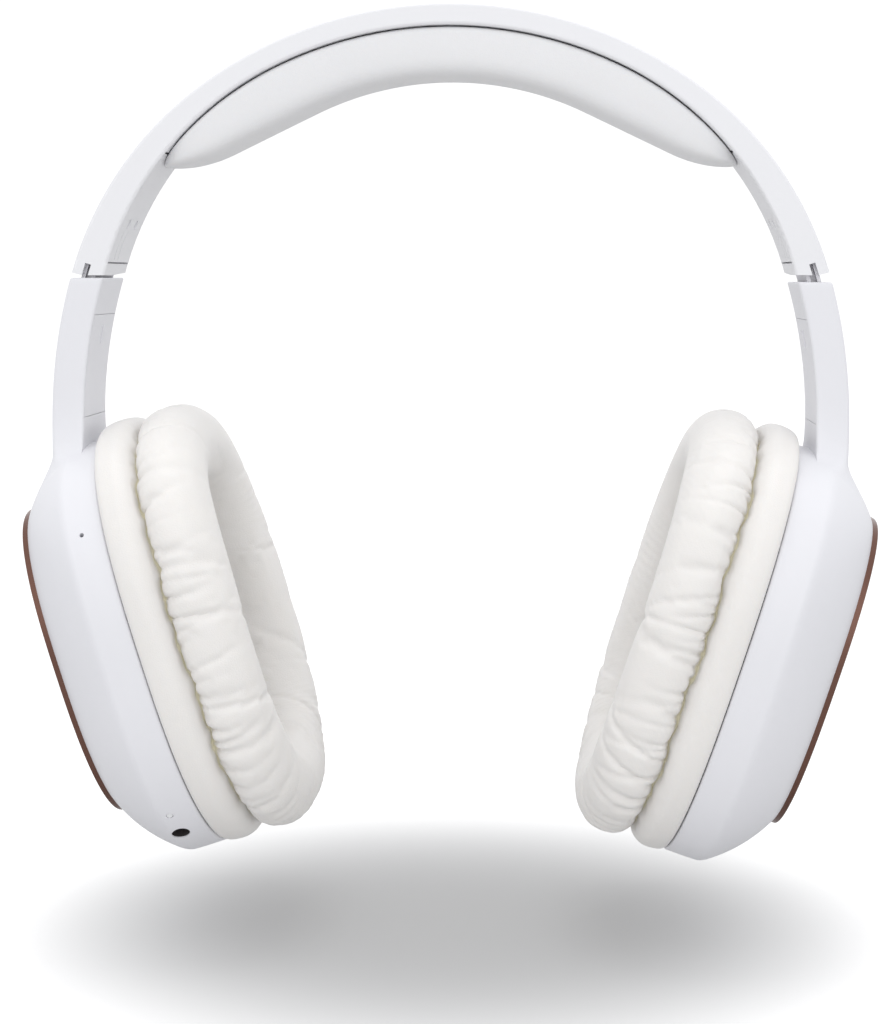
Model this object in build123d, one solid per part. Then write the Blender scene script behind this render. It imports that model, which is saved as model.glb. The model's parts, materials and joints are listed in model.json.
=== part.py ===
"""Over-ear headphones: a padded headband, two sliding arms and two ear cups.

Millimetres. The origin is on the underside of the head pad at its crown, +X to the side of the
cup without sockets, +Y to the rear and +Z up. The object is almost symmetric about the plane X = 0.
"""

import os
from math import asin, atan2, cos, degrees, pi, radians, sin

from build123d import *

# ---- driving dimensions: headband ----
band_depth = 20.5          # front face to rear face
crown_radius = 85.0        # outer arc over the head
crown_turn = 36.5          # degrees from the top to where the tighter side arc begins
side_radius = 71.0         # outer side arc, tangent to the crown arc
split_height = -39.4       # height of the joint between headband and arm
crown_thickness = 4.3      # radial thickness at the top
inner_turn = 25.0          # degrees from the top to where the inner side arc begins
side_lining = 1.0          # inner side arc to the tongue, for the spring and part of the cover
shell_wall = 1.2           # wall over the channel inside the headband
flank_wall = 1.6           # front and rear walls beside the channel
edge_fillet = 0.7          # softened long edges of headband and arm
end_slope = 0.6            # rise of the trimmed corners where the headband ends
end_slope_width = 2.4      # width of the trimmed outer corner
pad_thickness = 9.7        # head pad at the crown
pad_border = 0.25          # headband's edge to the pad, front and rear
pad_crown_radius = 64.0    # underside of the head pad over the crown
pad_flank_turn = 25.5      # degrees from the top to the straight flank of the pad
pad_flank = 19.4           # length of that straight flank
pad_tail_radius = 30.0     # reverse curve where the pad thins out
pad_tail_turn = 17.5       # degrees turned by that reverse curve
pad_end = 58.0             # half width over the pad
pad_tip_drop = 0.9         # how far the pad's end leans
cover_thickness = 1.2      # inner covers and pad base
cover_border = 0.65        # headband's edge to the inner covers, front and rear
base_turn = 50.0           # degrees from the top to the end of the pad base
strip_thickness = 0.8      # spring steel strip
strip_border = 4.25        # headband's edge to the strip, front and rear
strip_turn = 46.0          # degrees from the top to the strip's end

# ---- driving dimensions: sliding arm ----
arm_radius = 109.0         # outer face of the arm
arm_lining = 2.0           # tongue to the arm's inner face
arm_height = 46.0          # drop from the joint to where the arm runs into its cup
neck_spread = 2.5          # how far the flare between arm and cup opens, each side
neck_drop = 8.0            # over what height it opens
neck_radius = 14.0         # its concave curve
neck_shoulder = 4.5        # cup's upper end down to where the flare leaves the arm
neck_root_down = 16.0      # cup's upper end to the flare's root inside the cup
neck_root_out = 9.0        # open edge to that root
tongue_radius = 88.0       # middle of the curved tongue, about the slide's centre
tongue_thickness = 2.7
tongue_border = 1.75       # arm's edge to the tongue, front and rear
tongue_inset = 1.9         # from the outer face to the tongue, at the joint
tongue_inside = 26.0       # arc length of tongue held in the headband when closed
tongue_below = 24.0        # arc length of tongue fixed in the arm
groove_width = 1.2         # groove along the tongue's edges
groove_depth = 1.5
notch_radius = 0.45        # click stops along the tongue
notch_count = 8
leaf_thickness = 0.3       # leaf spring that clicks into the stops
leaf_gap = 0.12
leaf_border = 3.5          # tongue's edge to the leaf, front and rear
closed_gap = 0.5           # headband to arm when pushed home
travel = 20.0              # arc length that the arm slides out
right_rest = 0.9           # how far the right arm stands out at rest
window_length = 3.4        # slot up the headband's front and rear faces
window_width = 1.25
window_step = 0.3          # from the tongue's outer face to the slot
wire_gap = 0.9             # room for wires between tongue and inner cover
wire_channel = 3.2         # depth of the channel for wires down the arm's inner face
wire_way_radius = 1.4      # bore from that channel into the cup
arm_cover_drop = 6.5       # joint to the top of the arm's inner cover
arm_cover_thickness = 1.0
bar_length = 4.0           # raised tactile bar on the cover
bar_width = 0.5
bar_height = 0.3

# ---- driving dimensions: ear cup, square to its own axis ----
cup_tilt = 17.0            # degrees that the cup leans in at the bottom
arm_sink = 9.61            # cup's upper end to the arm's lowest outer point, along the cup
arm_out = 12.33            # open edge to that point, outwards
oval_power = 2.6           # roundness of every cup outline: 2 is an ellipse
cup_height = 87.2          # open edge, along the cup
cup_depth = 72.0           # open edge, front to rear
rim_swell = 0.4            # how much larger the crease is than the open edge
rim_width = 7.5            # flat side wall up to the soft crease
bevel_mid = 14.2           # outward place of the bevel's middle section
bevel_trim_height = 8.6    # how much smaller that section is than the open edge
bevel_trim_depth = 11.4
cup_out = 19.4             # open edge to the outer end of the housing
disc_trim_height = 20.8    # how much smaller the outer disc is than the open edge
disc_trim_depth = 27.0
disc_shift = 1.0           # disc centre above the cup centre
ring_rise = 1.2            # ring standing out of the housing
ring_width = 1.4
cup_wall = 2.0
disc_wall = 1.5            # wall behind the disc
disc_seat = 1.5            # depth of the disc's seat
cap_crown = 0.3            # how far the disc's plate stands above its ring

# ---- driving dimensions: ear cushion and what is behind it ----
cushion_over_height = 1.8  # how much larger the cushion is than the open edge
cushion_over_depth = 1.2
cushion_shift = 0.6        # cushion's centre above the cup's
cushion_thickness = 20.6
cushion_width_ends = 17.0  # outer edge to the opening, above and below
cushion_width_sides = 17.6  # outer edge to the opening, front and rear
base_lobe = 8.75           # thickness of the cushion's base lobe
plate_thickness = 1.8      # baffle plate
plate_place = 1.2          # open edge to the baffle plate
carrier_trim = 13.1        # how much smaller than the open edge the cushion's ring is
carrier_thickness = 2.4
carrier_width = 4.0
cloth_thickness = 0.4
driver_radius = 20.0
driver_hole = 17.0
driver_depth = 6.0
driver_flange = 1.5        # rim of the basket beyond its drum
basket_wall = 1.2
basket_hole_radius = 1.6
basket_hole_count = 8
dome_radius = 6.0          # dome in the middle of the diaphragm
dome_sink = 4.2
magnet_radius = 13.0
magnet_thickness = 6.0
board_thickness = 1.0
chip_size = (7.0, 7.0, 0.9)
radio_size = (9.0, 6.0, 0.9)
board_length = 43.0
board_width = 34.0
board_place = 13.2         # open edge to the main board
post_inset = 3.0           # board's ends to its posts
post_across = 9.0
post_radius = 1.5
battery_length = 34.0
battery_width = 24.0
battery_thickness = 3.0
boss_gap = 1.15            # screw heads to the cushion's ring
boss_across = 7.0
boss_radius = 3.0
vent_radius = 1.5          # tuning holes in the baffle plate
vent_along = 24.0
vent_across = 18.0

# ---- driving dimensions: controls and sockets ----
button_length = 8.0
button_width = 2.6
button_pitch = 10.5
button_proud = 0.6
button_travel = 0.5
jack_radius = 1.8          # bore of the round audio socket
jack_length = 14.0         # depth of that bore
jack_nose = 0.55           # wall round the socket's mouth
jack_body = 4.6            # square body behind the mouth
usb_width = 7.6
usb_thickness = 2.7
usb_length = 5.6
port_place = 5.4           # outward place of sockets and buttons
port_turn = 39.0           # sockets, degrees round the rim from its lowest point
light_turn = 50.0          # status light
mic_turn = 57.0            # microphone, from the rim's highest point
mic_place = 4.3
mic_radius = 1.1
light_radius = 0.6
light_length = 3.2
socket_cut = 12.0          # length of the holes cut for the sockets
pinhole_radius = 0.4
screw_radius = 1.0
screw_head = 1.9
screw_length = 5.0
tongue_screws = (10.0, 19.0)  # below the joint, along the tongue
pilot_length = 4.0         # screw holes through the tongue into the arm
sunk_head = 0.7            # height of a tongue screw's flat head
sunk_length = 3.6          # its shank
mark_turn = 69.0           # curved marks on the inner cover
mark_radii = (8.0, 11.4)
mark_width = 0.28
mark_length = 6.4
mark_below = 6.0           # centre of the marks' arcs, below their seat
dimple_turn = 64.8         # two round dimples in the inner cover
dimple_across = 3.4
dimple_radius = 1.1
button_board = 34.0        # length of the small board behind the buttons
button_board_width = 4.4
switch_gap = 0.4           # a pressed button to its switch
switch_board = 0.8         # its thickness
switch_radius = 1.5        # switches under the buttons
switch_height = 0.5
bracket_width = 2.0        # brackets that hold that board
flange_inset = 3.6         # rim to the flange that keeps a button in
flange_thickness = 1.0
flange_margin = 0.8        # flange beyond the button, at its ends

# ---- clearances ----
slide_fit = 0.08           # tongue in its way, across its thickness
side_fit = 0.15            # tongue in its way, front and rear
panel_fit = 0.10           # fixed plastic pieces in their seats
soft_fit = 0.30            # soft pieces to their neighbours
key_fit = 0.12             # buttons in their holes

# ---- worked out from the above ----
inner_side_radius = side_radius - tongue_inset - tongue_thickness - side_lining
arm_thickness = tongue_inset + tongue_thickness + arm_lining
window_inset = tongue_inset + window_step
pad_depth = band_depth - 2 * pad_border
cover_depth = band_depth - 2 * cover_border
strip_depth = band_depth - 2 * strip_border
tongue_depth = band_depth - 2 * tongue_border
rim_height = cup_height + rim_swell
rim_depth = cup_depth + rim_swell
bevel_mid_height = cup_height - bevel_trim_height
bevel_mid_depth = cup_depth - bevel_trim_depth
disc_height = cup_height - disc_trim_height
disc_depth = cup_depth - disc_trim_depth
cushion_height = cup_height + cushion_over_height
cushion_depth = cup_depth + cushion_over_depth
opening_height = cushion_height - 2 * cushion_width_ends
opening_depth = cushion_depth - 2 * cushion_width_sides
carrier_height = cup_height - carrier_trim
carrier_depth = cup_depth - carrier_trim
button_board_inset = flange_inset + flange_thickness + button_travel + switch_gap + switch_height
button_board_inset += switch_board / 2
boss_along = carrier_height / 2 - carrier_width - screw_head - boss_gap
crown_top = pad_thickness + soft_fit + crown_thickness
crown_centre = crown_top - crown_radius
half_band = band_depth / 2
side_centre = Vector(
    (crown_radius - side_radius) * sin(radians(crown_turn)),
    crown_centre + (crown_radius - side_radius) * cos(radians(crown_turn)),
)
inner_radius = crown_radius - crown_thickness
inner_centre = Vector(
    (inner_radius - inner_side_radius) * sin(radians(inner_turn)),
    crown_centre + (inner_radius - inner_side_radius) * cos(radians(inner_turn)),
)
split_angle = degrees(asin((split_height - side_centre.Y) / side_radius))
split_out = Vector(cos(radians(split_angle)), sin(radians(split_angle)))
split_point = side_centre + split_out * side_radius
arm_centre = split_point - split_out * arm_radius
slide_centre = split_point - split_out * (tongue_radius + tongue_inset + tongue_thickness / 2)
slide_axis = Axis((slide_centre.X, 0, slide_centre.Y), (0, 1, 0))
arm_top = split_height - closed_gap
arm_low = arm_top - arm_height
arm_foot = Vector(arm_centre.X + (arm_radius**2 - (arm_low - arm_centre.Y) ** 2) ** 0.5, arm_low)
cup_up = Vector(sin(radians(cup_tilt)), cos(radians(cup_tilt)))
cup_outward = Vector(cos(radians(cup_tilt)), -sin(radians(cup_tilt)))
cup_centre = arm_foot - cup_up * (cup_height / 2 - arm_sink) - cup_outward * arm_out
cup_drop = -cup_centre.Y
cup_plane = Plane(
    origin=(cup_centre.X, 0, cup_centre.Y),
    x_dir=(sin(radians(cup_tilt)), 0, cos(radians(cup_tilt))),
    z_dir=(cos(radians(cup_tilt)), 0, -sin(radians(cup_tilt))),
)
ring_out = cup_out + ring_rise
seat_floor = cup_out - disc_seat
inner_end = seat_floor - disc_wall

wired_only = (
    "main_board",
    "battery",
    "audio_socket",
    "charging_socket",
    "status_light",
    "microphone",
)
parts = {}


# ---- shapes shared by many pieces ----
def point_on(centre, radius, angle):
    """The point at an angle from straight up, in the front view."""
    return (centre.X + radius * sin(radians(angle)), centre.Y + radius * cos(radians(angle)))


def arc_on(centre, radius, start, end):
    """An arc between two angles from straight up, in the front view."""
    return ThreePointArc(
        point_on(centre, radius, start),
        point_on(centre, radius, (start + end) / 2),
        point_on(centre, radius, end),
    )


def front_slab(edges, depth):
    """A closed outline in the front view, given thickness front to rear about the middle plane."""
    return extrude(Plane.XZ * make_face(edges), amount=depth / 2, both=True)


def both_sides(shape):
    """A shape and its mirror image across the middle plane."""
    return shape + mirror(shape, about=Plane.YZ)


def cut_box(x_low, x_high, y_low, y_high, z_low, z_high):
    """A box given by its limits."""
    middle = ((x_low + x_high) / 2, (y_low + y_high) / 2, (z_low + z_high) / 2)
    return Pos(*middle) * Box(x_high - x_low, y_high - y_low, z_high - z_low)


def oval(height, depth, place, shift=0.0):
    """A closed superellipse square to the cup's axis: |x/a|^p + |y/b|^p = 1."""
    count = 48
    points = []
    for index in range(count):
        turn = 2 * pi * index / count
        along = abs(cos(turn)) ** (2 / oval_power) * (1 if cos(turn) >= 0 else -1)
        across = abs(sin(turn)) ** (2 / oval_power) * (1 if sin(turn) >= 0 else -1)
        points.append((shift + height / 2 * along, depth / 2 * across, place))
    return make_face(Spline(points, periodic=True))


def oval_prism(height, depth, low, high, shift=0.0):
    """A straight-sided oval block between two places along the cup's axis."""
    return extrude(oval(height, depth, low, shift), amount=high - low, dir=(0, 0, 1))


def oval_ring(height, depth, width, low, high, shift=0.0):
    """An oval band of even width."""
    outer = oval_prism(height, depth, low, high, shift)
    inner = oval_prism(height - 2 * width, depth - 2 * width, low - 1, high + 1, shift)
    return outer - inner


def stacked(sections):
    """A body through a stack of ovals, each a height, depth, place and shift."""
    return loft([oval(*section) for section in sections], ruled=True)


def drum(radius, low, high, at=(0.0, 0.0)):
    """A round block along the cup's axis."""
    return Pos(at[0], at[1], (low + high) / 2) * Cylinder(radius, high - low)


def screw(radius, head, length):
    """A pan-head screw along Z with its head's underside at the origin and a cross recess."""
    body = Pos(0, 0, -length / 2) * Cylinder(radius, length)
    cap = Pos(0, 0, radius / 2) * Cylinder(head, radius)
    recess = Box(head, head / 4, radius) + Box(head / 4, head, radius)
    return body + cap - Pos(0, 0, radius) * recess


# ---- headband ----
def band_outer(inset, end):
    """The headband's right outer edge moved in by inset, from the top down to an angle."""
    crown = Vector(0, crown_centre)
    return [
        arc_on(crown, crown_radius - inset, 0, crown_turn),
        arc_on(side_centre, side_radius - inset, crown_turn, end),
    ]


def band_inner(outset, end):
    """The headband's right inner edge moved out by outset, from the top down to an angle."""
    crown = Vector(0, crown_centre)
    return [
        arc_on(crown, inner_radius + outset, 0, inner_turn),
        arc_on(inner_centre, inner_side_radius + outset, inner_turn, end),
    ]


def band_slab(inset, outset, depth, end, inner_end_turn=None):
    """The right half of the headband between two moved edges, down to an angle."""
    outer = band_outer(inset, end)
    inner = band_inner(outset, inner_end_turn or end)
    edges = outer + inner
    edges.append(Line(outer[0] @ 0, inner[0] @ 0))
    edges.append(Line(outer[1] @ 1, inner[1] @ 1))
    return front_slab(edges, depth)


def lining_slab(low, high, depth, start, end):
    """A strip lying on the inner edge of the headband's right half between two angles."""
    if start < inner_turn:
        inside = band_inner(low, end)
        outside = band_inner(high, end)
    else:
        inside = [arc_on(inner_centre, inner_side_radius + low, start, end)]
        outside = [arc_on(inner_centre, inner_side_radius + high, start, end)]
    edges = inside + outside
    edges.append(Line(inside[0] @ 0, outside[0] @ 0))
    edges.append(Line(inside[-1] @ 1, outside[-1] @ 1))
    return front_slab(edges, depth)


def tongue_sector(grow, depth, below, above):
    """The curved way of the slide: below and above are arc lengths from the joint."""
    mean = 90 - split_angle
    inner = tongue_radius - tongue_thickness / 2 - grow
    outer = tongue_radius + tongue_thickness / 2 + grow
    start = mean - degrees(above / tongue_radius)
    end = mean + degrees(below / tongue_radius)
    inside = arc_on(slide_centre, inner, start, end)
    outside = arc_on(slide_centre, outer, start, end)
    edges = [inside, outside, Line(inside @ 0, outside @ 0), Line(inside @ 1, outside @ 1)]
    return front_slab(edges, depth)


past_split = 90 - split_angle + 6
cover_turn = 90 - split_angle - 1.2
above_split = cut_box(-200, 200, -100, 100, split_height, 100)

half_shell = band_slab(0, 0, band_depth, past_split)
half_shell &= above_split
long_edges = [e for e in half_shell.edges() if abs(abs(e.center().Y) - half_band) < 0.01]
long_edges = [e for e in long_edges if e.center().Z > split_height + 1 and e.center().X > 1]
half_shell = fillet(long_edges, edge_fillet)
channel = band_slab(shell_wall, -2, band_depth - 2 * flank_wall, base_turn, base_turn)
cover_seat = lining_slab(-2, cover_thickness, cover_depth + 2 * panel_fit, 0, cover_turn)
wire_room = lining_slab(0, wire_gap + cover_thickness, tongue_depth - 2, base_turn - 1, cover_turn - 2)
slide_way = tongue_sector(slide_fit, tongue_depth + 2 * side_fit, 10, tongue_inside + 0.6)
window_top = 90 - split_angle - degrees(window_length / side_radius)
window_outer = arc_on(side_centre, side_radius - window_inset, window_top, past_split)
window_inner = arc_on(side_centre, side_radius - window_inset - window_width, window_top, past_split)
window_cut = front_slab(
    [
        window_outer,
        window_inner,
        Line(window_outer @ 0, window_inner @ 0),
        Line(window_outer @ 1, window_inner @ 1),
    ],
    band_depth + 2,
)
outer_wedge = front_slab(
    Polyline(
        (split_point.X - end_slope_width, split_height),
        (split_point.X + 2, split_height),
        (split_point.X + 2, split_height + end_slope * (end_slope_width + 2) / end_slope_width),
        close=True,
    ).edges(),
    band_depth + 2,
)
rear_outline = Polyline(
    (-2, split_height),
    (half_band + 1, split_height),
    (half_band + 1, split_height + end_slope),
    close=True,
)
rear_wedge = extrude(Plane.YZ * make_face(rear_outline.edges()), amount=200)
half_shell = half_shell - channel - cover_seat - wire_room - slide_way - window_cut
half_shell = half_shell - outer_wedge - rear_wedge

# ---- headband pieces ----
half_cover = lining_slab(0, cover_thickness - panel_fit, cover_depth, base_turn + 0.4, cover_turn - 0.3)
half_base = lining_slab(0, cover_thickness - panel_fit, cover_depth, 0, base_turn)
half_strip = band_slab(shell_wall + panel_fit, 0, strip_depth, strip_turn)
half_strip -= band_slab(shell_wall + panel_fit + strip_thickness, -9, strip_depth + 2, strip_turn + 9)


def pad_edges():
    """The head pad's right half: under the headband, then a tail, a straight flank and the crown."""
    top_radius = inner_radius - soft_fit
    side_top = inner_side_radius - soft_fit
    top_end = degrees(asin((pad_end - inner_centre.X) / side_top))
    roof = [
        arc_on(Vector(0, crown_centre), top_radius, 0, inner_turn),
        arc_on(inner_centre, side_top, inner_turn, top_end),
    ]
    crown = arc_on(Vector(0, -pad_crown_radius), pad_crown_radius, 0, pad_flank_turn)
    flank = Line(crown @ 1, crown @ 1 + (crown % 1) * pad_flank)
    outward = Vector(sin(radians(pad_flank_turn)), cos(radians(pad_flank_turn)))
    tail_centre = flank @ 1 + outward * pad_tail_radius
    tail = arc_on(tail_centre, pad_tail_radius, 180 + pad_flank_turn, 180 + pad_flank_turn - pad_tail_turn)
    tip = Line(tail @ 1, ((roof[1] @ 1).X, (tail @ 1).Y - pad_tip_drop))
    edges = roof + [crown, flank, tail, tip]
    edges.append(Line(roof[0] @ 0, crown @ 0))
    edges.append(Line(tip @ 1, roof[1] @ 1))
    return edges


half_pad = front_slab(pad_edges(), pad_depth)

screw_shape = screw(screw_radius, screw_head, screw_length)


def arm_blank():
    """The arm's bar from the joint down into the cup, before it is hollowed."""
    top_turn = 90 - degrees(asin((arm_top + 8 - arm_centre.Y) / arm_radius))
    low_turn = 90 - degrees(asin((arm_low - arm_centre.Y) / arm_radius))
    outside = arc_on(arm_centre, arm_radius, top_turn, low_turn)
    inside = arc_on(arm_centre, arm_radius - arm_thickness, top_turn, low_turn)
    edges = [outside, inside, Line(outside @ 0, inside @ 0), Line(outside @ 1, inside @ 1)]
    bar = front_slab(edges, band_depth) & cut_box(0, 200, -100, 100, -300, arm_top)
    long_edges = [e for e in bar.edges() if abs(abs(e.center().Y) - half_band) < 0.01]
    long_edges = [e for e in long_edges if arm_low + 2 < e.center().Z < arm_top - 1]
    return fillet(long_edges, edge_fillet)


def neck():
    """The flare between arm and cup: a front outline crossed with a side outline."""
    shoulder_level = cup_height / 2 - cup_drop - neck_shoulder
    shoulder_turn = 90 - degrees(asin((shoulder_level - arm_centre.Y) / arm_radius))
    shoulder = Vector(*point_on(arm_centre, arm_radius, shoulder_turn))
    inner_top = Vector(*point_on(arm_centre, arm_radius - arm_thickness, shoulder_turn))
    disc_top = cup_plane.from_local_coords((disc_shift + disc_height / 2 + 0.2, 0, cup_out - 0.3))
    rim_top = cup_plane.from_local_coords((cup_height / 2 - 0.3, 0, 0.6))
    deep = cup_plane.from_local_coords((cup_height / 2 - neck_root_down, 0, neck_root_out))
    flare = Spline(
        (shoulder.X, shoulder.Y),
        (disc_top.X, disc_top.Z),
        tangents=[(0.12, -1), (0.45, -1)],
    )
    front = [
        flare,
        Line(flare @ 1, (deep.X, deep.Z)),
        Line((deep.X, deep.Z), (rim_top.X, rim_top.Z)),
        Line((rim_top.X, rim_top.Z), (inner_top.X, inner_top.Y)),
        Line((inner_top.X, inner_top.Y), (shoulder.X, shoulder.Y)),
    ]
    low = (deep.Z, shoulder.Y + 1)
    spread = half_band + neck_spread
    right = RadiusArc((half_band, low[1]), (spread, low[1] - neck_drop), neck_radius)
    left = RadiusArc((-spread, low[1] - neck_drop), (-half_band, low[1]), neck_radius)
    side = [
        right,
        left,
        Line((-half_band, low[1]), (half_band, low[1])),
        Line((spread, low[1] - neck_drop), (spread, low[0])),
        Line((spread, low[0]), (-spread, low[0])),
        Line((-spread, low[0]), (-spread, low[1] - neck_drop)),
    ]
    return front_slab(front, 2 * spread + 2) & extrude(Plane.YZ * make_face(side), amount=200)


def cup_skin():
    """The cup's outer form: a straight rim, then a bevel that closes in on the disc."""
    return stacked(
        [
            (cup_height, cup_depth, 0.0),
            (rim_height, rim_depth, rim_width),
            (bevel_mid_height, bevel_mid_depth, bevel_mid, disc_shift / 2),
            (disc_height + 0.4, disc_depth + 0.4, cup_out, disc_shift),
        ]
    )


def cup_cavity():
    """The room inside the cup, open towards the ear."""
    shrink = 2 * cup_wall
    share = (inner_end - bevel_mid) / (cup_out - bevel_mid)
    end_height = bevel_mid_height + (disc_height - bevel_mid_height) * share
    end_depth = bevel_mid_depth + (disc_depth - bevel_mid_depth) * share
    return stacked(
        [
            (cup_height - shrink, cup_depth - shrink, -1.0),
            (rim_height - shrink, rim_depth - shrink, rim_width - 0.8),
            (bevel_mid_height - shrink, bevel_mid_depth - shrink, bevel_mid - 0.8, disc_shift / 2),
            (end_height - shrink - 2, end_depth - shrink - 2, inner_end, disc_shift),
        ]
    )


boss_spots = [(w, y) for w in (-boss_along, boss_along) for y in (-boss_across, boss_across)]
post_along = board_length / 2 - post_inset
post_spots = [(w, y) for w in (-post_along, post_along) for y in (-post_across, post_across)]
vent_spots = [(w, y) for w in (-vent_along, vent_along) for y in (-vent_across, vent_across)]
plate_back = plate_place + plate_thickness
bracket_place = rim_depth / 2 - button_board_inset + bracket_width
cup_top_turn = 90 - degrees(asin((-cup_drop + cup_height / 2 + 3 - arm_centre.Y) / arm_radius))
cover_top_turn = 90 - degrees(asin((split_height - arm_cover_drop - arm_centre.Y) / arm_radius))


def rim_seat(turn, place, upper, front):
    """A place on the rim, its Z axis running straight in: turn is from the rim's end."""
    along = rim_height / 2 * cos(radians(turn)) ** (2 / oval_power)
    across = rim_depth / 2 * sin(radians(turn)) ** (2 / oval_power)
    rise = (2 * along / rim_height) ** (oval_power - 1) / rim_height
    lean = (2 * across / rim_depth) ** (oval_power - 1) / rim_depth
    up = 1 if upper else -1
    fore = 1 if front else -1
    heading = degrees(atan2(-fore * lean, -up * rise))
    return Pos(up * along, fore * across, place) * Rot(0, 0, heading) * Rot(0, 90, 0)


def rim_across(along):
    """Half the rim's depth at a distance from the cup's centre."""
    return rim_depth / 2 * (1 - abs(2 * along / rim_height) ** oval_power) ** (1 / oval_power)


jack_seat = rim_seat(port_turn, port_place, False, True)
usb_seat = rim_seat(port_turn, port_place, False, False)
light_seat = rim_seat(light_turn, port_place, False, True)
mic_seat = rim_seat(mic_turn, mic_place, True, True)
button_spots = {"volume_down": -button_pitch, "play": 0.0, "volume_up": button_pitch}


def key_block(length, width, corner, along, outer, inner):
    """A round-cornered block through the rear of the rim, between two depths."""
    face = RectangleRounded(length, width, corner)
    return Pos(along, -inner, port_place) * Rot(90, 0, 0) * extrude(face, amount=outer - inner)


def arm_sector(inner, outer, depth, start, end):
    """A curved block along the arm between two radii and two turns from the top."""
    inside = arc_on(arm_centre, inner, start, end)
    outside = arc_on(arm_centre, outer, start, end)
    edges = [inside, outside, Line(inside @ 0, outside @ 0), Line(inside @ 1, outside @ 1)]
    return front_slab(edges, depth)


def cup_housing(wired):
    """One moulding: the arm, its flare and the cup, hollowed for the tongue and the works."""
    inner_face = arm_radius - arm_thickness
    body = arm_blank() + neck() + cup_plane * cup_skin()
    hollow = cup_cavity()
    for spot in boss_spots:
        hollow -= drum(boss_radius, plate_back, inner_end + 1, spot)
    if wired:
        for spot in post_spots:
            hollow -= drum(post_radius, board_place + board_thickness, inner_end + 1, spot)
        for side in (-1, 1):
            bracket = Box(bracket_width, 2 * bracket_width, button_board_width)
            hollow -= Pos(side * (button_board + bracket_width) / 2, -bracket_place, port_place) * bracket
    seat_size = (disc_height + 2 * panel_fit, disc_depth + 2 * panel_fit)
    body -= cup_plane * hollow
    body -= cup_plane * oval_prism(*seat_size, seat_floor, ring_out + 1, disc_shift)
    for spot in boss_spots:
        body -= cup_plane * drum(screw_radius, plate_back - 1, plate_back + screw_length, spot)
    body -= tongue_sector(panel_fit, tongue_depth + 2 * panel_fit, tongue_below + panel_fit, 10)
    for place in tongue_screws:
        pilot = Pos(0, 0, -pilot_length / 2) * Cylinder(screw_radius, pilot_length)
        body -= tongue_screw_seat(place) * pilot
    body -= arm_sector(
        inner_face - 3,
        inner_face + arm_cover_thickness,
        cover_depth + 2 * panel_fit,
        cover_top_turn,
        cup_top_turn,
    )
    body -= arm_sector(
        inner_face, inner_face + wire_channel, tongue_depth - 2, cover_top_turn + 0.8, cup_top_turn - 0.8
    )
    way_top = point_on(arm_centre, inner_face + wire_channel - 1, cup_top_turn - 1.6)
    way_low = cup_plane.from_local_coords((cup_height / 2 - 5, 0, 4))
    way = Line((way_top[0], 0, way_top[1]), way_low)
    body -= sweep(Plane(way @ 0, z_dir=way % 0) * Circle(wire_way_radius), path=way)
    if wired:
        body -= cup_plane * jack_seat * Cylinder(jack_radius + jack_nose + panel_fit, socket_cut)
        usb_mouth = Box(usb_thickness + 2 * panel_fit, usb_width + 2 * panel_fit, socket_cut)
        body -= cup_plane * usb_seat * usb_mouth
        body -= cup_plane * light_seat * Cylinder(light_radius + panel_fit, 8)
        body -= cup_plane * mic_seat * Cylinder(pinhole_radius, 8)
        for along in button_spots.values():
            body -= cup_plane * key_block(
                button_length + 2 * key_fit,
                button_width + 2 * key_fit,
                button_width / 2,
                along,
                rim_depth / 2 + 2,
                rim_depth / 2 - 6,
            )
    return body


def tongue_screw_seat(place):
    """On the tongue's inner face at an arc length below the joint, Z towards the head."""
    turn = 90 - split_angle + degrees(place / tongue_radius)
    spot = point_on(slide_centre, tongue_radius - tongue_thickness / 2, turn)
    return Pos(spot[0], 0, spot[1]) * Rot(0, turn + 180, 0)


def sunk_screw():
    """A flat-headed screw along -Z with the top of its head at the origin."""
    head = Pos(0, 0, -sunk_head / 2) * Cylinder(screw_head, sunk_head)
    shank = Pos(0, 0, -(sunk_head + sunk_length) / 2) * Cylinder(screw_radius - 0.05, sunk_length)
    recess = Box(screw_head, screw_head / 4, sunk_head) + Box(screw_head / 4, screw_head, sunk_head)
    return head + shank - recess


def tongue():
    """The curved tongue with grooved edges and a row of click stops."""
    blade = tongue_sector(0, tongue_depth, tongue_below, tongue_inside)
    groove_grow = (groove_width - tongue_thickness) / 2
    bar = tongue_sector(groove_grow, tongue_depth + 2, tongue_below - 6, tongue_inside + 5)
    core = cut_box(0, 200, -tongue_depth / 2 + groove_depth, tongue_depth / 2 - groove_depth, -200, 0)
    blade -= bar - core
    spacing = travel / (notch_count - 1)
    for index in range(notch_count):
        turn = 90 - split_angle - degrees((tongue_inside - 3 - index * spacing) / tongue_radius)
        spot = point_on(slide_centre, tongue_radius - tongue_thickness / 2, turn)
        blade -= Pos(spot[0], 0, spot[1]) * Rot(90, 0, 0) * Cylinder(notch_radius, tongue_depth - 6)
    for place in tongue_screws:
        seat = tongue_screw_seat(place)
        blade -= seat * Cylinder(screw_radius, 3 * tongue_thickness)
        blade -= seat * Pos(0, 0, 0.5 - sunk_head / 2) * Cylinder(screw_head + 0.1, sunk_head + 1)
    return blade


def arm_cover():
    """The panel inside the arm, with a raised bar that tells the sides apart by touch."""
    inner_face = arm_radius - arm_thickness
    clearance_turn = degrees(panel_fit / arm_radius)
    panel = arm_sector(
        inner_face,
        inner_face + arm_cover_thickness - panel_fit,
        cover_depth,
        cover_top_turn + clearance_turn,
        cup_top_turn - clearance_turn,
    )
    start = cover_top_turn + degrees(2.5 / arm_radius)
    end = start + degrees(bar_length / arm_radius)
    bar = arm_sector(inner_face - bar_height, inner_face + bar_height, bar_width, start, end)
    return panel + bar


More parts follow.
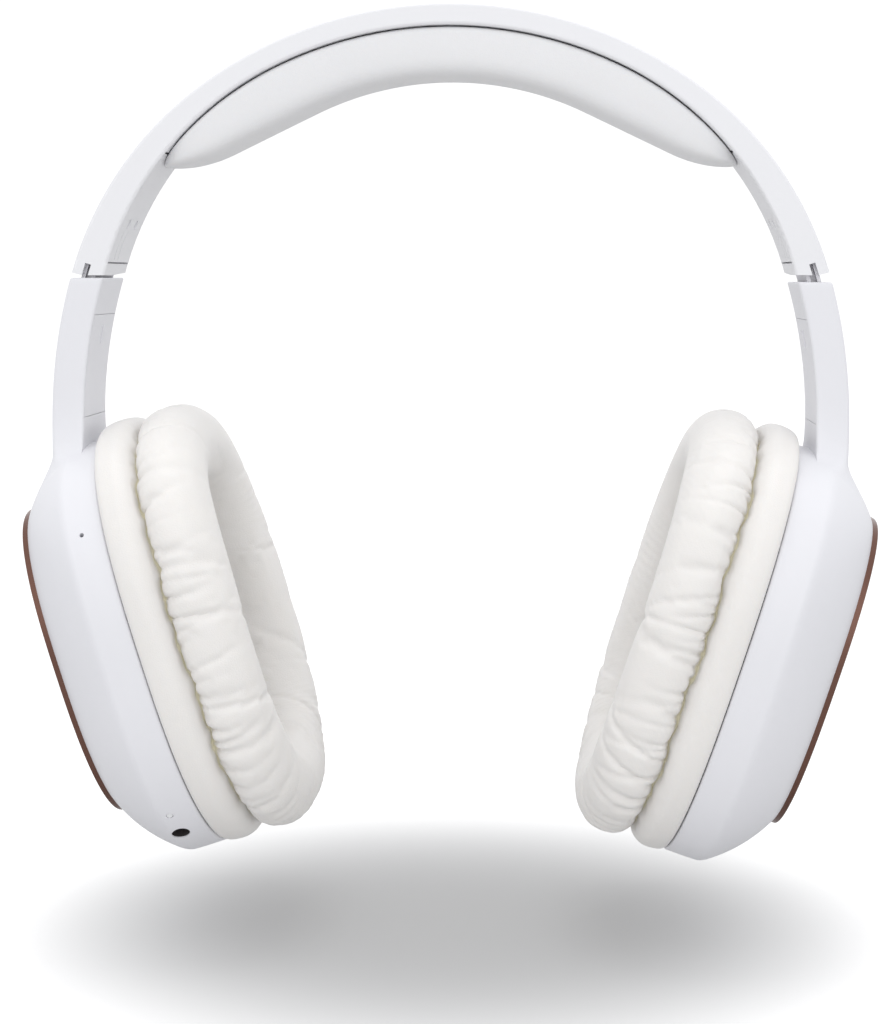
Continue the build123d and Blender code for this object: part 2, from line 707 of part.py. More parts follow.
def ear_cushion():
    """The cushion: a base lobe and a main lobe round an oval opening, soft and closed."""
    low = -cushion_thickness
    pinch = -base_lobe
    crown, shoulder, waist, foot = 9.0, 3.4, 2.2, 1.6
    outlines = ((crown, low), (shoulder, low + 2.2), (0, low + 6.5), (waist, pinch))
    outlines += ((0.6, pinch + 4), (foot, -soft_fit))
    outer = stacked(
        [(cushion_height - trim, cushion_depth - trim, place, cushion_shift) for trim, place in outlines]
    )
    mouth = ((7, low - 0.1), (0, low + 4), (0, 1))
    opening = stacked(
        [(opening_height + flare, opening_depth + flare, place, cushion_shift) for flare, place in mouth]
    )
    pocket = (carrier_height + 2 * soft_fit, carrier_depth + 2 * soft_fit)
    room = oval_prism(*pocket, -carrier_thickness - cloth_thickness - soft_fit, 1)
    return outer - opening - room


def cup_pieces(wired):
    """Every piece of one cup except the housing, square to the cup's axis."""
    made = {}
    plate_size = (cup_height - 2 * cup_wall - 2 * panel_fit, cup_depth - 2 * cup_wall - 2 * panel_fit)
    plate = oval_prism(*plate_size, plate_place, plate_back) - drum(driver_hole, 0, 4)
    for spot in boss_spots:
        plate -= drum(screw_radius + panel_fit, 0, 4, spot)
    for spot in vent_spots:
        plate -= drum(vent_radius, 0, 4, spot)
    made["baffle_plate"] = plate
    carrier_size = (carrier_height, carrier_depth, carrier_width)
    carrier_low = plate_place - carrier_thickness
    made["cushion_carrier"] = oval_ring(*carrier_size, carrier_low, plate_place - panel_fit)
    cloth_size = (carrier_height - carrier_width, carrier_depth - carrier_width)
    cloth_low = carrier_low - cloth_thickness - panel_fit
    made["speaker_cloth"] = oval_prism(*cloth_size, cloth_low, cloth_low + cloth_thickness)
    made["ear_cushion"] = ear_cushion()
    basket = drum(driver_radius + driver_flange, plate_back, plate_back + basket_wall)
    basket += drum(driver_radius, plate_back, plate_back + driver_depth)
    basket -= drum(driver_radius - basket_wall, plate_back - 1, plate_back + driver_depth - basket_wall)
    basket -= drum(magnet_radius + panel_fit, 0, 20)
    for index in range(basket_hole_count):
        turn = 2 * pi * index / basket_hole_count
        reach = (driver_radius + magnet_radius) / 2
        basket -= drum(basket_hole_radius, 0, 20, (reach * cos(turn), reach * sin(turn)))
    made["driver_basket"] = basket
    magnet_low = plate_back + driver_depth - 2.5
    made["driver_magnet"] = drum(magnet_radius, magnet_low, magnet_low + magnet_thickness) - drum(
        2.0, 0, 20
    )
    dome = drum(driver_radius - 1.4, plate_back + 0.3, plate_back + 0.5)
    ball = Pos(0, 0, plate_back - dome_sink) * Sphere(dome_radius)
    dome += ball & drum(dome_radius, plate_back + 0.3, plate_back + 2)
    made["driver_diaphragm"] = dome
    made["disc_ring"] = oval_ring(disc_height, disc_depth, ring_width, seat_floor, ring_out, disc_shift)
    cap_size = (disc_height - 2 * ring_width - 2 * panel_fit, disc_depth - 2 * ring_width - 2 * panel_fit)
    made["disc_cap"] = stacked(
        [
            (*cap_size, seat_floor, disc_shift),
            (*cap_size, ring_out, disc_shift),
            (cap_size[0] - 2, cap_size[1] - 2, ring_out + cap_crown, disc_shift),
        ]
    )
    heads = [Pos(*spot, plate_place) * Rot(180, 0, 0) * screw_shape for spot in boss_spots]
    made["cup_screws"] = Part() + heads
    if wired:
        made.update(electronic_pieces())
    else:
        battery_low = inner_end - battery_thickness - panel_fit
        made["battery"] = Pos(0, 0, battery_low + battery_thickness / 2) * Box(
            battery_length, battery_width, battery_thickness
        )
    return made


def electronic_pieces():
    """Boards, sockets, microphone, light and buttons of the wired cup."""
    made = {}
    board = Pos(0, 0, board_place + board_thickness / 2) * Box(board_length, board_width, board_thickness)
    board_top = board_place + board_thickness
    chip = Pos(4, 3, board_top + chip_size[2] / 2) * Box(*chip_size)
    radio = Pos(-10, -6, board_top + radio_size[2] / 2) * Box(*radio_size)
    made["main_board"] = board + chip + radio
    mouth = Pos(0, 0, 1.9) * Cylinder(jack_radius + jack_nose, 3.0)
    block = Pos(0, 0, 3.2 + (jack_length - 2.0) / 2) * Box(jack_body, jack_body + 1, jack_length - 2.0)
    bore = Pos(0, 0, jack_length / 2) * Cylinder(jack_radius, jack_length)
    made["audio_socket"] = jack_seat * (mouth + block - bore)
    shell = Pos(0, 0, 0.8 + usb_length / 2) * Box(usb_thickness, usb_width, usb_length)
    inside = Pos(0, 0, usb_length / 2) * Box(usb_thickness - 0.6, usb_width - 0.6, usb_length)
    contact = Pos(0, 0, 1.6 + usb_length / 2) * Box(0.7, usb_width - 2.6, usb_length - 1.6)
    made["charging_socket"] = usb_seat * (shell - inside + contact)
    pipe = Cylinder(light_radius, light_length)
    made["status_light"] = light_seat * Pos(0, 0, panel_fit + light_length / 2) * pipe
    made["microphone"] = mic_seat * Pos(0, 0, 3.2) * Cylinder(mic_radius, 1.6)
    board_low = rim_depth / 2 - button_board_inset
    keys = Pos(0, -board_low, port_place) * Box(button_board, switch_board, button_board_width)
    for along in button_spots.values():
        switch = Cylinder(switch_radius, switch_height)
        rise = board_low + (switch_board + switch_height) / 2
        keys += Pos(along, -rise, port_place) * Rot(90, 0, 0) * switch
    made["button_board"] = keys
    for name, along in button_spots.items():
        skin = rim_across(along)
        foot = skin - flange_inset - flange_thickness
        corner = button_width / 2 - 0.05
        stem = key_block(button_length, button_width, corner, along, skin + button_proud, foot)
        flange_size = (button_length + 2 * flange_margin, button_width + 2 * flange_margin - 0.2)
        flange = key_block(*flange_size, flange_thickness, along, skin - flange_inset, foot)
        made["button_" + name] = stem + flange
    return made


def slide_spring():
    """A leaf in the headband that clicks into the tongue's stops."""
    start = 90 - split_angle - degrees(20 / tongue_radius)
    end = 90 - split_angle - degrees(8 / tongue_radius)
    outer = tongue_radius - tongue_thickness / 2 - leaf_gap
    inside = arc_on(slide_centre, outer - leaf_thickness, start, end)
    outside = arc_on(slide_centre, outer, start, end)
    edges = [inside, outside, Line(inside @ 0, outside @ 0), Line(inside @ 1, outside @ 1)]
    return front_slab(edges, tongue_depth - 2 * leaf_border)


# ---- the headband's nodes ----
marks = []
for radius in mark_radii:
    ring = Cylinder(radius + mark_width / 2, 0.5) - Cylinder(radius - mark_width / 2, 0.5)
    marks.append(ring & Pos(0, -radius, 0) * Box(mark_length, 4, 1))
mark_spot = point_on(inner_centre, inner_side_radius, mark_turn)
mark_seat = Pos(mark_spot[0], 0, mark_spot[1]) * Rot(0, mark_turn + 180, 0)
for mark in marks:
    half_cover -= mark_seat * Pos(0, mark_below, 0) * mark
dimple_spot = point_on(inner_centre, inner_side_radius, dimple_turn)
for side in (-dimple_across, dimple_across):
    dimple = Pos(dimple_spot[0], side, dimple_spot[1]) * Rot(0, dimple_turn + 180, 0)
    half_cover -= dimple * Cylinder(dimple_radius, 0.8)
parts["headband_shell"] = both_sides(half_shell)
parts["headband_spring_strip"] = both_sides(half_strip)
parts["pad_base"] = both_sides(half_base)
parts["head_pad"] = both_sides(half_pad)
parts["inner_cover_right"] = half_cover
parts["inner_cover_left"] = mirror(half_cover, about=Plane.YZ)
parts["slide_spring_right"] = slide_spring()
parts["slide_spring_left"] = mirror(slide_spring(), about=Plane.YZ)

# ---- the two arms with their cups ----
for side, wired in (("left", True), ("right", False)):
    pieces = {"cup_housing": cup_housing(wired), "slider_tongue": tongue(), "arm_cover": arm_cover()}
    pieces["tongue_screws"] = Part() + [tongue_screw_seat(place) * sunk_screw() for place in tongue_screws]
    for name, shape in cup_pieces(wired).items():
        pieces[name] = cup_plane * shape
    for name, shape in pieces.items():
        single = name.startswith("button_") or name in wired_only
        label = name if single else name + "_" + side
        if wired:
            parts[label] = mirror(shape, about=Plane.YZ)
        else:
            parts[label] = shape.rotate(slide_axis, degrees(right_rest / tongue_radius))

os.makedirs("parts", exist_ok=True)
for name, shape in parts.items():
    export_step(shape, os.path.join("parts", name + ".step"))
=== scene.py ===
import json
import logging
import math
from dataclasses import dataclass
from enum import Enum

import bmesh
import bpy
import numpy as np
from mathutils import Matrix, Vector

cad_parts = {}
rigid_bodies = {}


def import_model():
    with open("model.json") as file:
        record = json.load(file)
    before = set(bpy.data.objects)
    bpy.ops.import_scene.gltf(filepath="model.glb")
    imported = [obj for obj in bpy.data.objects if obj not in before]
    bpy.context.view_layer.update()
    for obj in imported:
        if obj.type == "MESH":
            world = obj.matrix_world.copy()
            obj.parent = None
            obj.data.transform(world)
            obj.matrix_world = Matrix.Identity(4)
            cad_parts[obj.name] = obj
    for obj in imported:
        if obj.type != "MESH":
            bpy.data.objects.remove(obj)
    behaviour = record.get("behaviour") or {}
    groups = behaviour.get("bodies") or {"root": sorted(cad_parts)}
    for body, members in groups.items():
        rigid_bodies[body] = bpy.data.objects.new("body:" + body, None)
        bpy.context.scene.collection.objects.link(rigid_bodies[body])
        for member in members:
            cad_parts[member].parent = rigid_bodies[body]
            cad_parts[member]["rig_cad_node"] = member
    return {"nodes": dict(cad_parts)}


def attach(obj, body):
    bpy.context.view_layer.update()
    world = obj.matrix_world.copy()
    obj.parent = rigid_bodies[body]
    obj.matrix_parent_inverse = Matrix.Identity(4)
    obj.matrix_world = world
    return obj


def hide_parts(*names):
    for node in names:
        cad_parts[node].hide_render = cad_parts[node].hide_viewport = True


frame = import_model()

log = logging.getLogger("headphones")
Array = np.ndarray
Tree = bpy.types.NodeTree
Socket = bpy.types.NodeSocket
Point = tuple[float, float, float]

MM = 0.001                    # metres in a millimetre: every size below is in millimetres
OVAL_POWER = 2.6              # roundness of every cup outline: 2 would be an ellipse
SHARP_ANGLE = math.radians(38.0)
TINY = 1e-9


class Side(Enum):
    """The two ends of the headphones, as the part's frame has them: LEFT is at -X."""

    LEFT = "left"
    RIGHT = "right"

    @property
    def body(self) -> str:
        """The CAD body that everything on this side's arm rides on."""
        return "arm_" + self.value

    def named(self, stem: str) -> str:
        """The name of this side's copy of a piece."""
        return f"{stem}_{self.value}"


class Grain(Enum):
    """How a finish is broken up at close range."""

    MOULDED = "moulded"
    SKIN = "skin"
    BRUSHED = "brushed"
    WOVEN = "woven"
    LAMINATE = "laminate"


# ---------------------------------------------------------------- numbers on arrays


def smooth_max(a: Array, b: Array, reach: float) -> Array:
    """The larger of two values, rounded where they are within reach of each other.

    It is max(a, b) plus the square of what is left of reach, over four times reach.

    Args:
        a: First values.
        b: Second values, of the same shape.
        reach: How far apart the two may be and still blend.

    Returns:
        The blended values.
    """
    left = np.maximum(reach - np.abs(a - b), 0.0)
    return np.maximum(a, b) + left * left / (4.0 * reach)


def smooth_step(value: Array, low: float, high: float) -> Array:
    """Goes from 0 at low to 1 at high along 3t^2 - 2t^3."""
    t = np.clip((value - low) / (high - low), 0.0, 1.0)
    return t * t * (3.0 - 2.0 * t)


def oval_radius(angle: Array, half_up: float, half_across: float) -> Array:
    """How far a superellipse is from its centre at an angle from its long axis.

    Args:
        angle: Polar angles in radians, 0 along the long axis.
        half_up: Half of the oval's height.
        half_across: Half of its depth.

    Returns:
        The radius at each angle: (|cos/a|^p + |sin/b|^p)^(-1/p).
    """
    along = np.abs(np.cos(angle) / half_up) ** OVAL_POWER
    across = np.abs(np.sin(angle) / half_across) ** OVAL_POWER
    return (along + across) ** (-1.0 / OVAL_POWER)


def even_oval(half_up: float, half_across: float, share: Array) -> Array:
    """Points of a superellipse at shares of its own length, from its top round the front.

    Args:
        half_up: Half of the oval's height.
        half_across: Half of its depth.
        share: Shares of the whole outline, from 0 to 1.

    Returns:
        The (up, across) places, one row for each share.
    """
    angle = np.linspace(0.0, 2.0 * np.pi, 4001)
    radius = oval_radius(angle, half_up, half_across)
    points = np.stack([radius * np.cos(angle), radius * np.sin(angle)], axis=-1)
    length = np.concatenate([[0.0], np.cumsum(np.linalg.norm(np.diff(points, axis=0), axis=1))])
    where = np.mod(share, 1.0) * length[-1]
    return np.stack([np.interp(where, length, points[:, k]) for k in (0, 1)], axis=-1)


def closed_normals(points: Array) -> Array:
    """Outward unit normals of a closed flat curve that runs from +up towards +across.

    Args:
        points: Points round a closed outline, running anticlockwise.

    Returns:
        One unit normal for each point.
    """
    tangent = np.roll(points, -1, axis=0) - np.roll(points, 1, axis=0)
    normal = np.stack([tangent[:, 1], -tangent[:, 0]], axis=-1)
    return normal / np.linalg.norm(normal, axis=1, keepdims=True)


def bezier_rows(start: Array, control: Array, end: Array, count: int) -> Array:
    """Rows of points along quadratic curves: (1-t)^2 a + 2t(1-t) c + t^2 b.

    Args:
        start: First points, one per column.
        control: Control points.
        end: Last points.
        count: How many rows, both ends included.

    Returns:
        A grid of count rows.
    """
    t = np.linspace(0.0, 1.0, count)[:, None, None]
    return (1 - t) ** 2 * start + 2 * t * (1 - t) * control + t * t * end


def raised(flat: Array, out: Array) -> Array:
    """Points of the cup's plane with an outward place each, as (up, front, out)."""
    return np.concatenate([flat, out[:, None]], axis=-1)


def straight_rows(start: Array, end: Array, count: int) -> Array:
    """Rows of points on straight lines from start to end, both included."""
    t = np.linspace(0.0, 1.0, count)[:, None, None]
    return (1 - t) * start + t * end


def closed_spline(knots: Array, count: int, focus: Array) -> Array:
    """A smooth closed curve through knots, as points that gather where focus is high.

    Each span is a Catmull-Rom cubic, whose slope at a knot is half the step between
    the knots on either side.

    Args:
        knots: The (x, y) points that the curve passes through.
        count: How many points to return.
        focus: One weight per knot; a span with twice the weight has twice the points.

    Returns:
        count points round the curve, without repeating the first.
    """
    steps = 40
    t = np.linspace(0.0, 1.0, steps, endpoint=False)[:, None, None]
    before, here = np.roll(knots, 1, axis=0), knots
    after, later = np.roll(knots, -1, axis=0), np.roll(knots, -2, axis=0)
    curve = 0.5 * (
        2 * here
        + (after - before) * t
        + (2 * before - 5 * here + 4 * after - later) * t**2
        + (3 * here - before - 3 * after + later) * t**3
    )
    dense = curve.transpose(1, 0, 2).reshape(-1, 2)
    weight = np.repeat(focus, steps)
    step = np.linalg.norm(np.roll(dense, -1, axis=0) - dense, axis=1) * weight
    length = np.concatenate([[0.0], np.cumsum(step)])
    where = np.arange(count) / count * length[-1]
    looped = np.vstack([dense, dense[:1]])
    return np.stack([np.interp(where, length, looped[:, k]) for k in (0, 1)], axis=-1)


# ---------------------------------------------------------------- meshes


class Shell:
    """A mesh gathered from grids of points that share their borders."""

    def __init__(self) -> None:
        """Starts with nothing in it."""
        self.points: list[Array] = []
        self.faces: list[tuple[int, ...]] = []
        self.count = 0

    def _add(self, points: Array) -> Array:
        """Keeps points and returns their numbers in the mesh.

        Args:
            points: Any array of points.

        Returns:
            The vertices' numbers, in the array's own shape.
        """
        flat = points.reshape(-1, 3)
        numbers = np.arange(self.count, self.count + len(flat))
        self.points.append(flat)
        self.count += len(flat)
        return numbers.reshape(points.shape[:-1])

    def grid(self, points: Array, ring: bool = False) -> None:
        """Adds quads over a grid of points.

        Args:
            points: Rows by columns by three, in metres.
            ring: Whether the last column joins the first.
        """
        numbers = self._add(points)
        across = np.roll(numbers, -1, axis=1) if ring else numbers[:, 1:]
        near = numbers if ring else numbers[:, :-1]
        quads = np.stack([near[:-1], across[:-1], across[1:], near[1:]], axis=-1)
        self.faces.extend(map(tuple, quads.reshape(-1, 4).tolist()))

    def cap(self, points: Array) -> None:
        """Closes a loop of points with one flat face."""
        self.faces.append(tuple(self._add(points).tolist()))

    def build(self, name: str) -> bpy.types.Object:
        """Joins the shared borders, turns the faces outwards and makes the object.

        Args:
            name: The piece's name.

        Returns:
            The new object, in the scene.
        """
        mesh = bpy.data.meshes.new(name)
        mesh.from_pydata(np.concatenate(self.points).tolist(), [], self.faces)
        work = bmesh.new()
        work.from_mesh(mesh)
        bmesh.ops.remove_doubles(work, verts=work.verts, dist=2e-6)
        bmesh.ops.dissolve_degenerate(work, dist=1e-7, edges=work.edges)
        bmesh.ops.recalc_face_normals(work, faces=work.faces)
        work.to_mesh(mesh)
        work.free()
        return finish_mesh(mesh, name)


def finish_mesh(mesh: bpy.types.Mesh, name: str) -> bpy.types.Object:
    """Smooth-shades a mesh up to the sharp angle and puts it in the scene.

    Args:
        mesh: The mesh to finish.
        name: The object's name.

    Returns:
        The object, shaded smooth and linked to the scene.
    """
    mesh.validate()
    mesh.shade_smooth()
    mesh.set_sharp_from_angle(angle=SHARP_ANGLE)
    piece = bpy.data.objects.new(name, mesh)
    bpy.context.scene.collection.objects.link(piece)
    return piece


def torus_mesh(points: Array, name: str) -> bpy.types.Object:
    """A closed tube from a grid whose rows and columns both join up.

    Args:
        points: Rows round the section by columns along the loop by three, in metres.
        name: The piece's name.

    Returns:
        The new object, with its vertices in the grid's own order.
    """
    rows, columns = points.shape[:2]
    numbers = np.arange(rows * columns).reshape(rows, columns)
    quads = np.stack(
        [
            numbers,
            np.roll(numbers, -1, axis=1),
            np.roll(np.roll(numbers, -1, axis=1), -1, axis=0),
            np.roll(numbers, -1, axis=0),
        ],
        axis=-1,
    ).reshape(-1, 4)
    if enclosed_volume(points) < 0:
        quads = quads[:, ::-1]
    mesh = bpy.data.meshes.new(name)
    mesh.vertices.add(rows * columns)
    mesh.vertices.foreach_set("co", points.astype(np.float32).ravel())
    mesh.loops.add(quads.size)
    mesh.loops.foreach_set("vertex_index", quads.astype(np.int32).ravel())
    mesh.polygons.add(len(quads))
    mesh.polygons.foreach_set("loop_start", np.arange(0, quads.size, 4, dtype=np.int32))
    mesh.update(calc_edges=True)
    return finish_mesh(mesh, name)


def enclosed_volume(points: Array) -> float:
    """The signed volume inside a doubly closed grid, by the divergence theorem.

    Args:
        points: A doubly closed grid, rows by columns by three.

    Returns:
        The volume, negative where the grid is inside out.
    """
    a = points
    b = np.roll(points, -1, axis=1)
    c = np.roll(b, -1, axis=0)
    d = np.roll(points, -1, axis=0)
    first = np.einsum("ijk,ijk->", a, np.cross(b, c))
    second = np.einsum("ijk,ijk->", a, np.cross(c, d))
    return float(first + second) / 6.0


def tag(piece: bpy.types.Object, name: str, values: Array) -> None:
    """Stores one number per vertex, for the piece's material to read."""
    layer = piece.data.attributes.new(name, "FLOAT", "POINT")
    layer.data.foreach_set("value", values.astype(np.float32).ravel())


def carve(piece: bpy.types.Object, cutters: list[bpy.types.Object]) -> None:
    """Cuts each cutter out of a piece and removes the cutters.

    Args:
        piece: The solid to cut.
        cutters: Closed solids to take away.
    """
    for cutter in cutters:
        cut = piece.modifiers.new("cut", "BOOLEAN")
        cut.operation = "DIFFERENCE"
        cut.solver = "EXACT"
        cut.object = cutter
        graph = bpy.context.evaluated_depsgraph_get()
        mesh = bpy.data.meshes.new_from_object(piece.evaluated_get(graph))
        piece.modifiers.clear()
        piece.data = mesh
        bpy.data.objects.remove(cutter)
    piece.data.shade_smooth()
    piece.data.set_sharp_from_angle(angle=SHARP_ANGLE)


# ---------------------------------------------------------------- finishes


@dataclass(frozen=True)
class Finish:
    """One surface finish, made as shader nodes.

    Attributes:
        name: What the finish is called.
        colour: Base colour, linear.
        roughness: Middle of the roughness range.
        spread: How far the roughness wanders each way.
        tone: How far the colour wanders, as a share.
        grain: How the surface is broken up at close range.
        grain_size: Width of the grain, in millimetres.
        grain_depth: Strength of the bump.
        metallic: 1 for bare metal.
        coat: Weight of a clear coat.
        sheen: Weight of the soft edge glow of skin and cloth.
        seam_and_fold_shade_colour: Colour where the piece's "seam" attribute is 1; on the cushion that mark
            is the seam's own colour plus painted shade in its folds.
        scatter: Weight of light passing under the surface.
    """

    name: str
    colour: tuple[float, float, float]
    roughness: float = 0.4
    spread: float = 0.06
    tone: float = 0.02
    grain: Grain = Grain.MOULDED
    grain_size: float = 0.35
    grain_depth: float = 0.05
    metallic: float = 0.0
    coat: float = 0.0
    sheen: float = 0.0
    seam_and_fold_shade_colour: tuple[float, float, float] | None = None
    scatter: float = 0.0

    def build(self) -> bpy.types.Material:
        """Makes the material.

        Returns:
            A node material whose colour, roughness and bump follow Object coordinates.
        """
        material = bpy.data.materials.new(self.name)
        material.use_nodes = True
        tree = material.node_tree
        shader = tree.nodes["Principled BSDF"]
        shader.inputs["Metallic"].default_value = self.metallic
        shader.inputs["Coat Weight"].default_value = self.coat
        shader.inputs["Coat Roughness"].default_value = 0.25
        shader.inputs["Sheen Weight"].default_value = self.sheen
        shader.inputs["Sheen Roughness"].default_value = 0.5
        shader.inputs["Subsurface Weight"].default_value = self.scatter
        shader.inputs["Subsurface Radius"].default_value = (1.0, 0.8, 0.6)
        shader.inputs["Subsurface Scale"].default_value = 1.5 * MM
        place = tree.nodes.new("ShaderNodeTexCoord").outputs["Object"]
        broad = self._noise(tree, place, 14.0, 3.0)
        fine = self._noise(tree, place, 1.6, 4.0)
        tree.links.new(self._tones(tree, broad, fine), shader.inputs["Base Color"])
        rough = tree.nodes.new("ShaderNodeMapRange")
        rough.inputs["To Min"].default_value = max(self.roughness - self.spread, 0.02)
        rough.inputs["To Max"].default_value = self.roughness + self.spread
        tree.links.new(fine, rough.inputs["Value"])
        tree.links.new(rough.outputs["Result"], shader.inputs["Roughness"])
        bump = tree.nodes.new("ShaderNodeBump")
        bump.inputs["Strength"].default_value = self.grain_depth
        bump.inputs["Distance"].default_value = 0.2 * MM
        tree.links.new(self._grain(tree, place), bump.inputs["Height"])
        tree.links.new(bump.outputs["Normal"], shader.inputs["Normal"])
        return material

    @staticmethod
    def _noise(tree: Tree, place: Socket, size: float, detail: float) -> Socket:
        """A noise of a feature size in millimetres, read at place.

        Args:
            tree: The material's nodes.
            place: Object coordinates.
            size: Feature size, in millimetres.
            detail: How many octaves.

        Returns:
            The noise's socket.
        """
        noise = tree.nodes.new("ShaderNodeTexNoise")
        noise.inputs["Scale"].default_value = 1.0 / (size * MM)
        noise.inputs["Detail"].default_value = detail
        tree.links.new(place, noise.inputs["Vector"])
        return noise.outputs["Fac"]

    def _tones(self, tree: Tree, broad: Socket, fine: Socket) -> Socket:
        """Makes the base colour, wandering a little, with the seam colour where it belongs, painted shade
        of the seam's folds included.

        Args:
            tree: The material's nodes.
            broad: A noise with large features.
            fine: A noise with small features.

        Returns:
            The colour's socket.
        """
        both = tree.nodes.new("ShaderNodeMix")
        both.inputs["Factor"].default_value = 0.35
        tree.links.new(broad, both.inputs["A"])
        tree.links.new(fine, both.inputs["B"])
        ramp = tree.nodes.new("ShaderNodeMix")
        ramp.data_type = "RGBA"
        dark = tuple(c * (1 - self.tone) for c in self.colour)
        light = tuple(min(c * (1 + self.tone), 0.98) for c in self.colour)
        ramp.inputs["A"].default_value = (*dark, 1.0)
        ramp.inputs["B"].default_value = (*light, 1.0)
        tree.links.new(both.outputs["Result"], ramp.inputs["Factor"])
        if self.seam_and_fold_shade_colour is None:
            return ramp.outputs["Result"]
        seam = tree.nodes.new("ShaderNodeAttribute")
        seam.attribute_name = "seam"
        seam_shaded = tree.nodes.new("ShaderNodeMix")
        seam_shaded.data_type = "RGBA"
        seam_shaded.inputs["B"].default_value = (*self.seam_and_fold_shade_colour, 1.0)
        tree.links.new(seam.outputs["Fac"], seam_shaded.inputs["Factor"])
        tree.links.new(ramp.outputs["Result"], seam_shaded.inputs["A"])
        return seam_shaded.outputs["Result"]

    def _grain(self, tree: Tree, place: Socket) -> Socket:
        """Makes the height that the bump reads.

        Args:
            tree: The material's nodes.
            place: Object coordinates.

        Returns:
            The height's socket: pebbles, threads, brush lines, tracks or mould texture.
        """
        scale = 1.0 / (self.grain_size * MM)
        if self.grain is Grain.SKIN:
            return self._pebbles(tree, place, scale)
        if self.grain is Grain.WOVEN:
            return self._threads(tree, place, scale)
        if self.grain is Grain.BRUSHED:
            stretch = tree.nodes.new("ShaderNodeMapping")
            stretch.inputs["Scale"].default_value = (1.0, 1.0, 0.04)
            tree.links.new(place, stretch.inputs["Vector"])
            return self._noise(tree, stretch.outputs["Vector"], self.grain_size, 5.0)
        if self.grain is Grain.LAMINATE:
            tracks = tree.nodes.new("ShaderNodeTexBrick")
            tracks.inputs["Scale"].default_value = scale / 8.0
            tree.links.new(place, tracks.inputs["Vector"])
            return tracks.outputs["Fac"]
        return self._noise(tree, place, self.grain_size, 3.0)

    def _pebbles(self, tree: Tree, place: Socket, scale: float) -> Socket:
        """Leatherette: flat cells with soft furrows between them, and pores.

        Args:
            tree: The material's nodes.
            place: Object coordinates.
            scale: Cells in a metre.

        Returns:
            The height's socket.
        """
        cells = tree.nodes.new("ShaderNodeTexVoronoi")
        cells.feature = "DISTANCE_TO_EDGE"
        cells.inputs["Scale"].default_value = scale
        tree.links.new(place, cells.inputs["Vector"])
        soft = tree.nodes.new("ShaderNodeMapRange")
        soft.inputs["From Max"].default_value = 0.25
        tree.links.new(cells.outputs["Distance"], soft.inputs["Value"])
        mixed = tree.nodes.new("ShaderNodeMix")
        mixed.inputs["Factor"].default_value = 0.45
        tree.links.new(soft.outputs["Result"], mixed.inputs["A"])
        tree.links.new(self._noise(tree, place, self.grain_size * 0.6, 3.0), mixed.inputs["B"])
        return mixed.outputs["Result"]

    @staticmethod
    def _threads(tree: Tree, place: Socket, scale: float) -> Socket:
        """Cloth: two sets of waves at right angles, multiplied.

        Args:
            tree: The material's nodes.
            place: Object coordinates.
            scale: Threads in a metre.

        Returns:
            The height's socket.
        """
        woven = tree.nodes.new("ShaderNodeMath")
        woven.operation = "MULTIPLY"
        for index, direction in enumerate(("X", "Z")):
            wave = tree.nodes.new("ShaderNodeTexWave")
            wave.bands_direction = direction
            wave.inputs["Scale"].default_value = scale / 3.0
            wave.inputs["Distortion"].default_value = 0.6
            wave.inputs["Detail Scale"].default_value = 2.0
            tree.links.new(place, wave.inputs["Vector"])
            tree.links.new(wave.outputs["Fac"], woven.inputs[index])
        return woven.outputs["Value"]


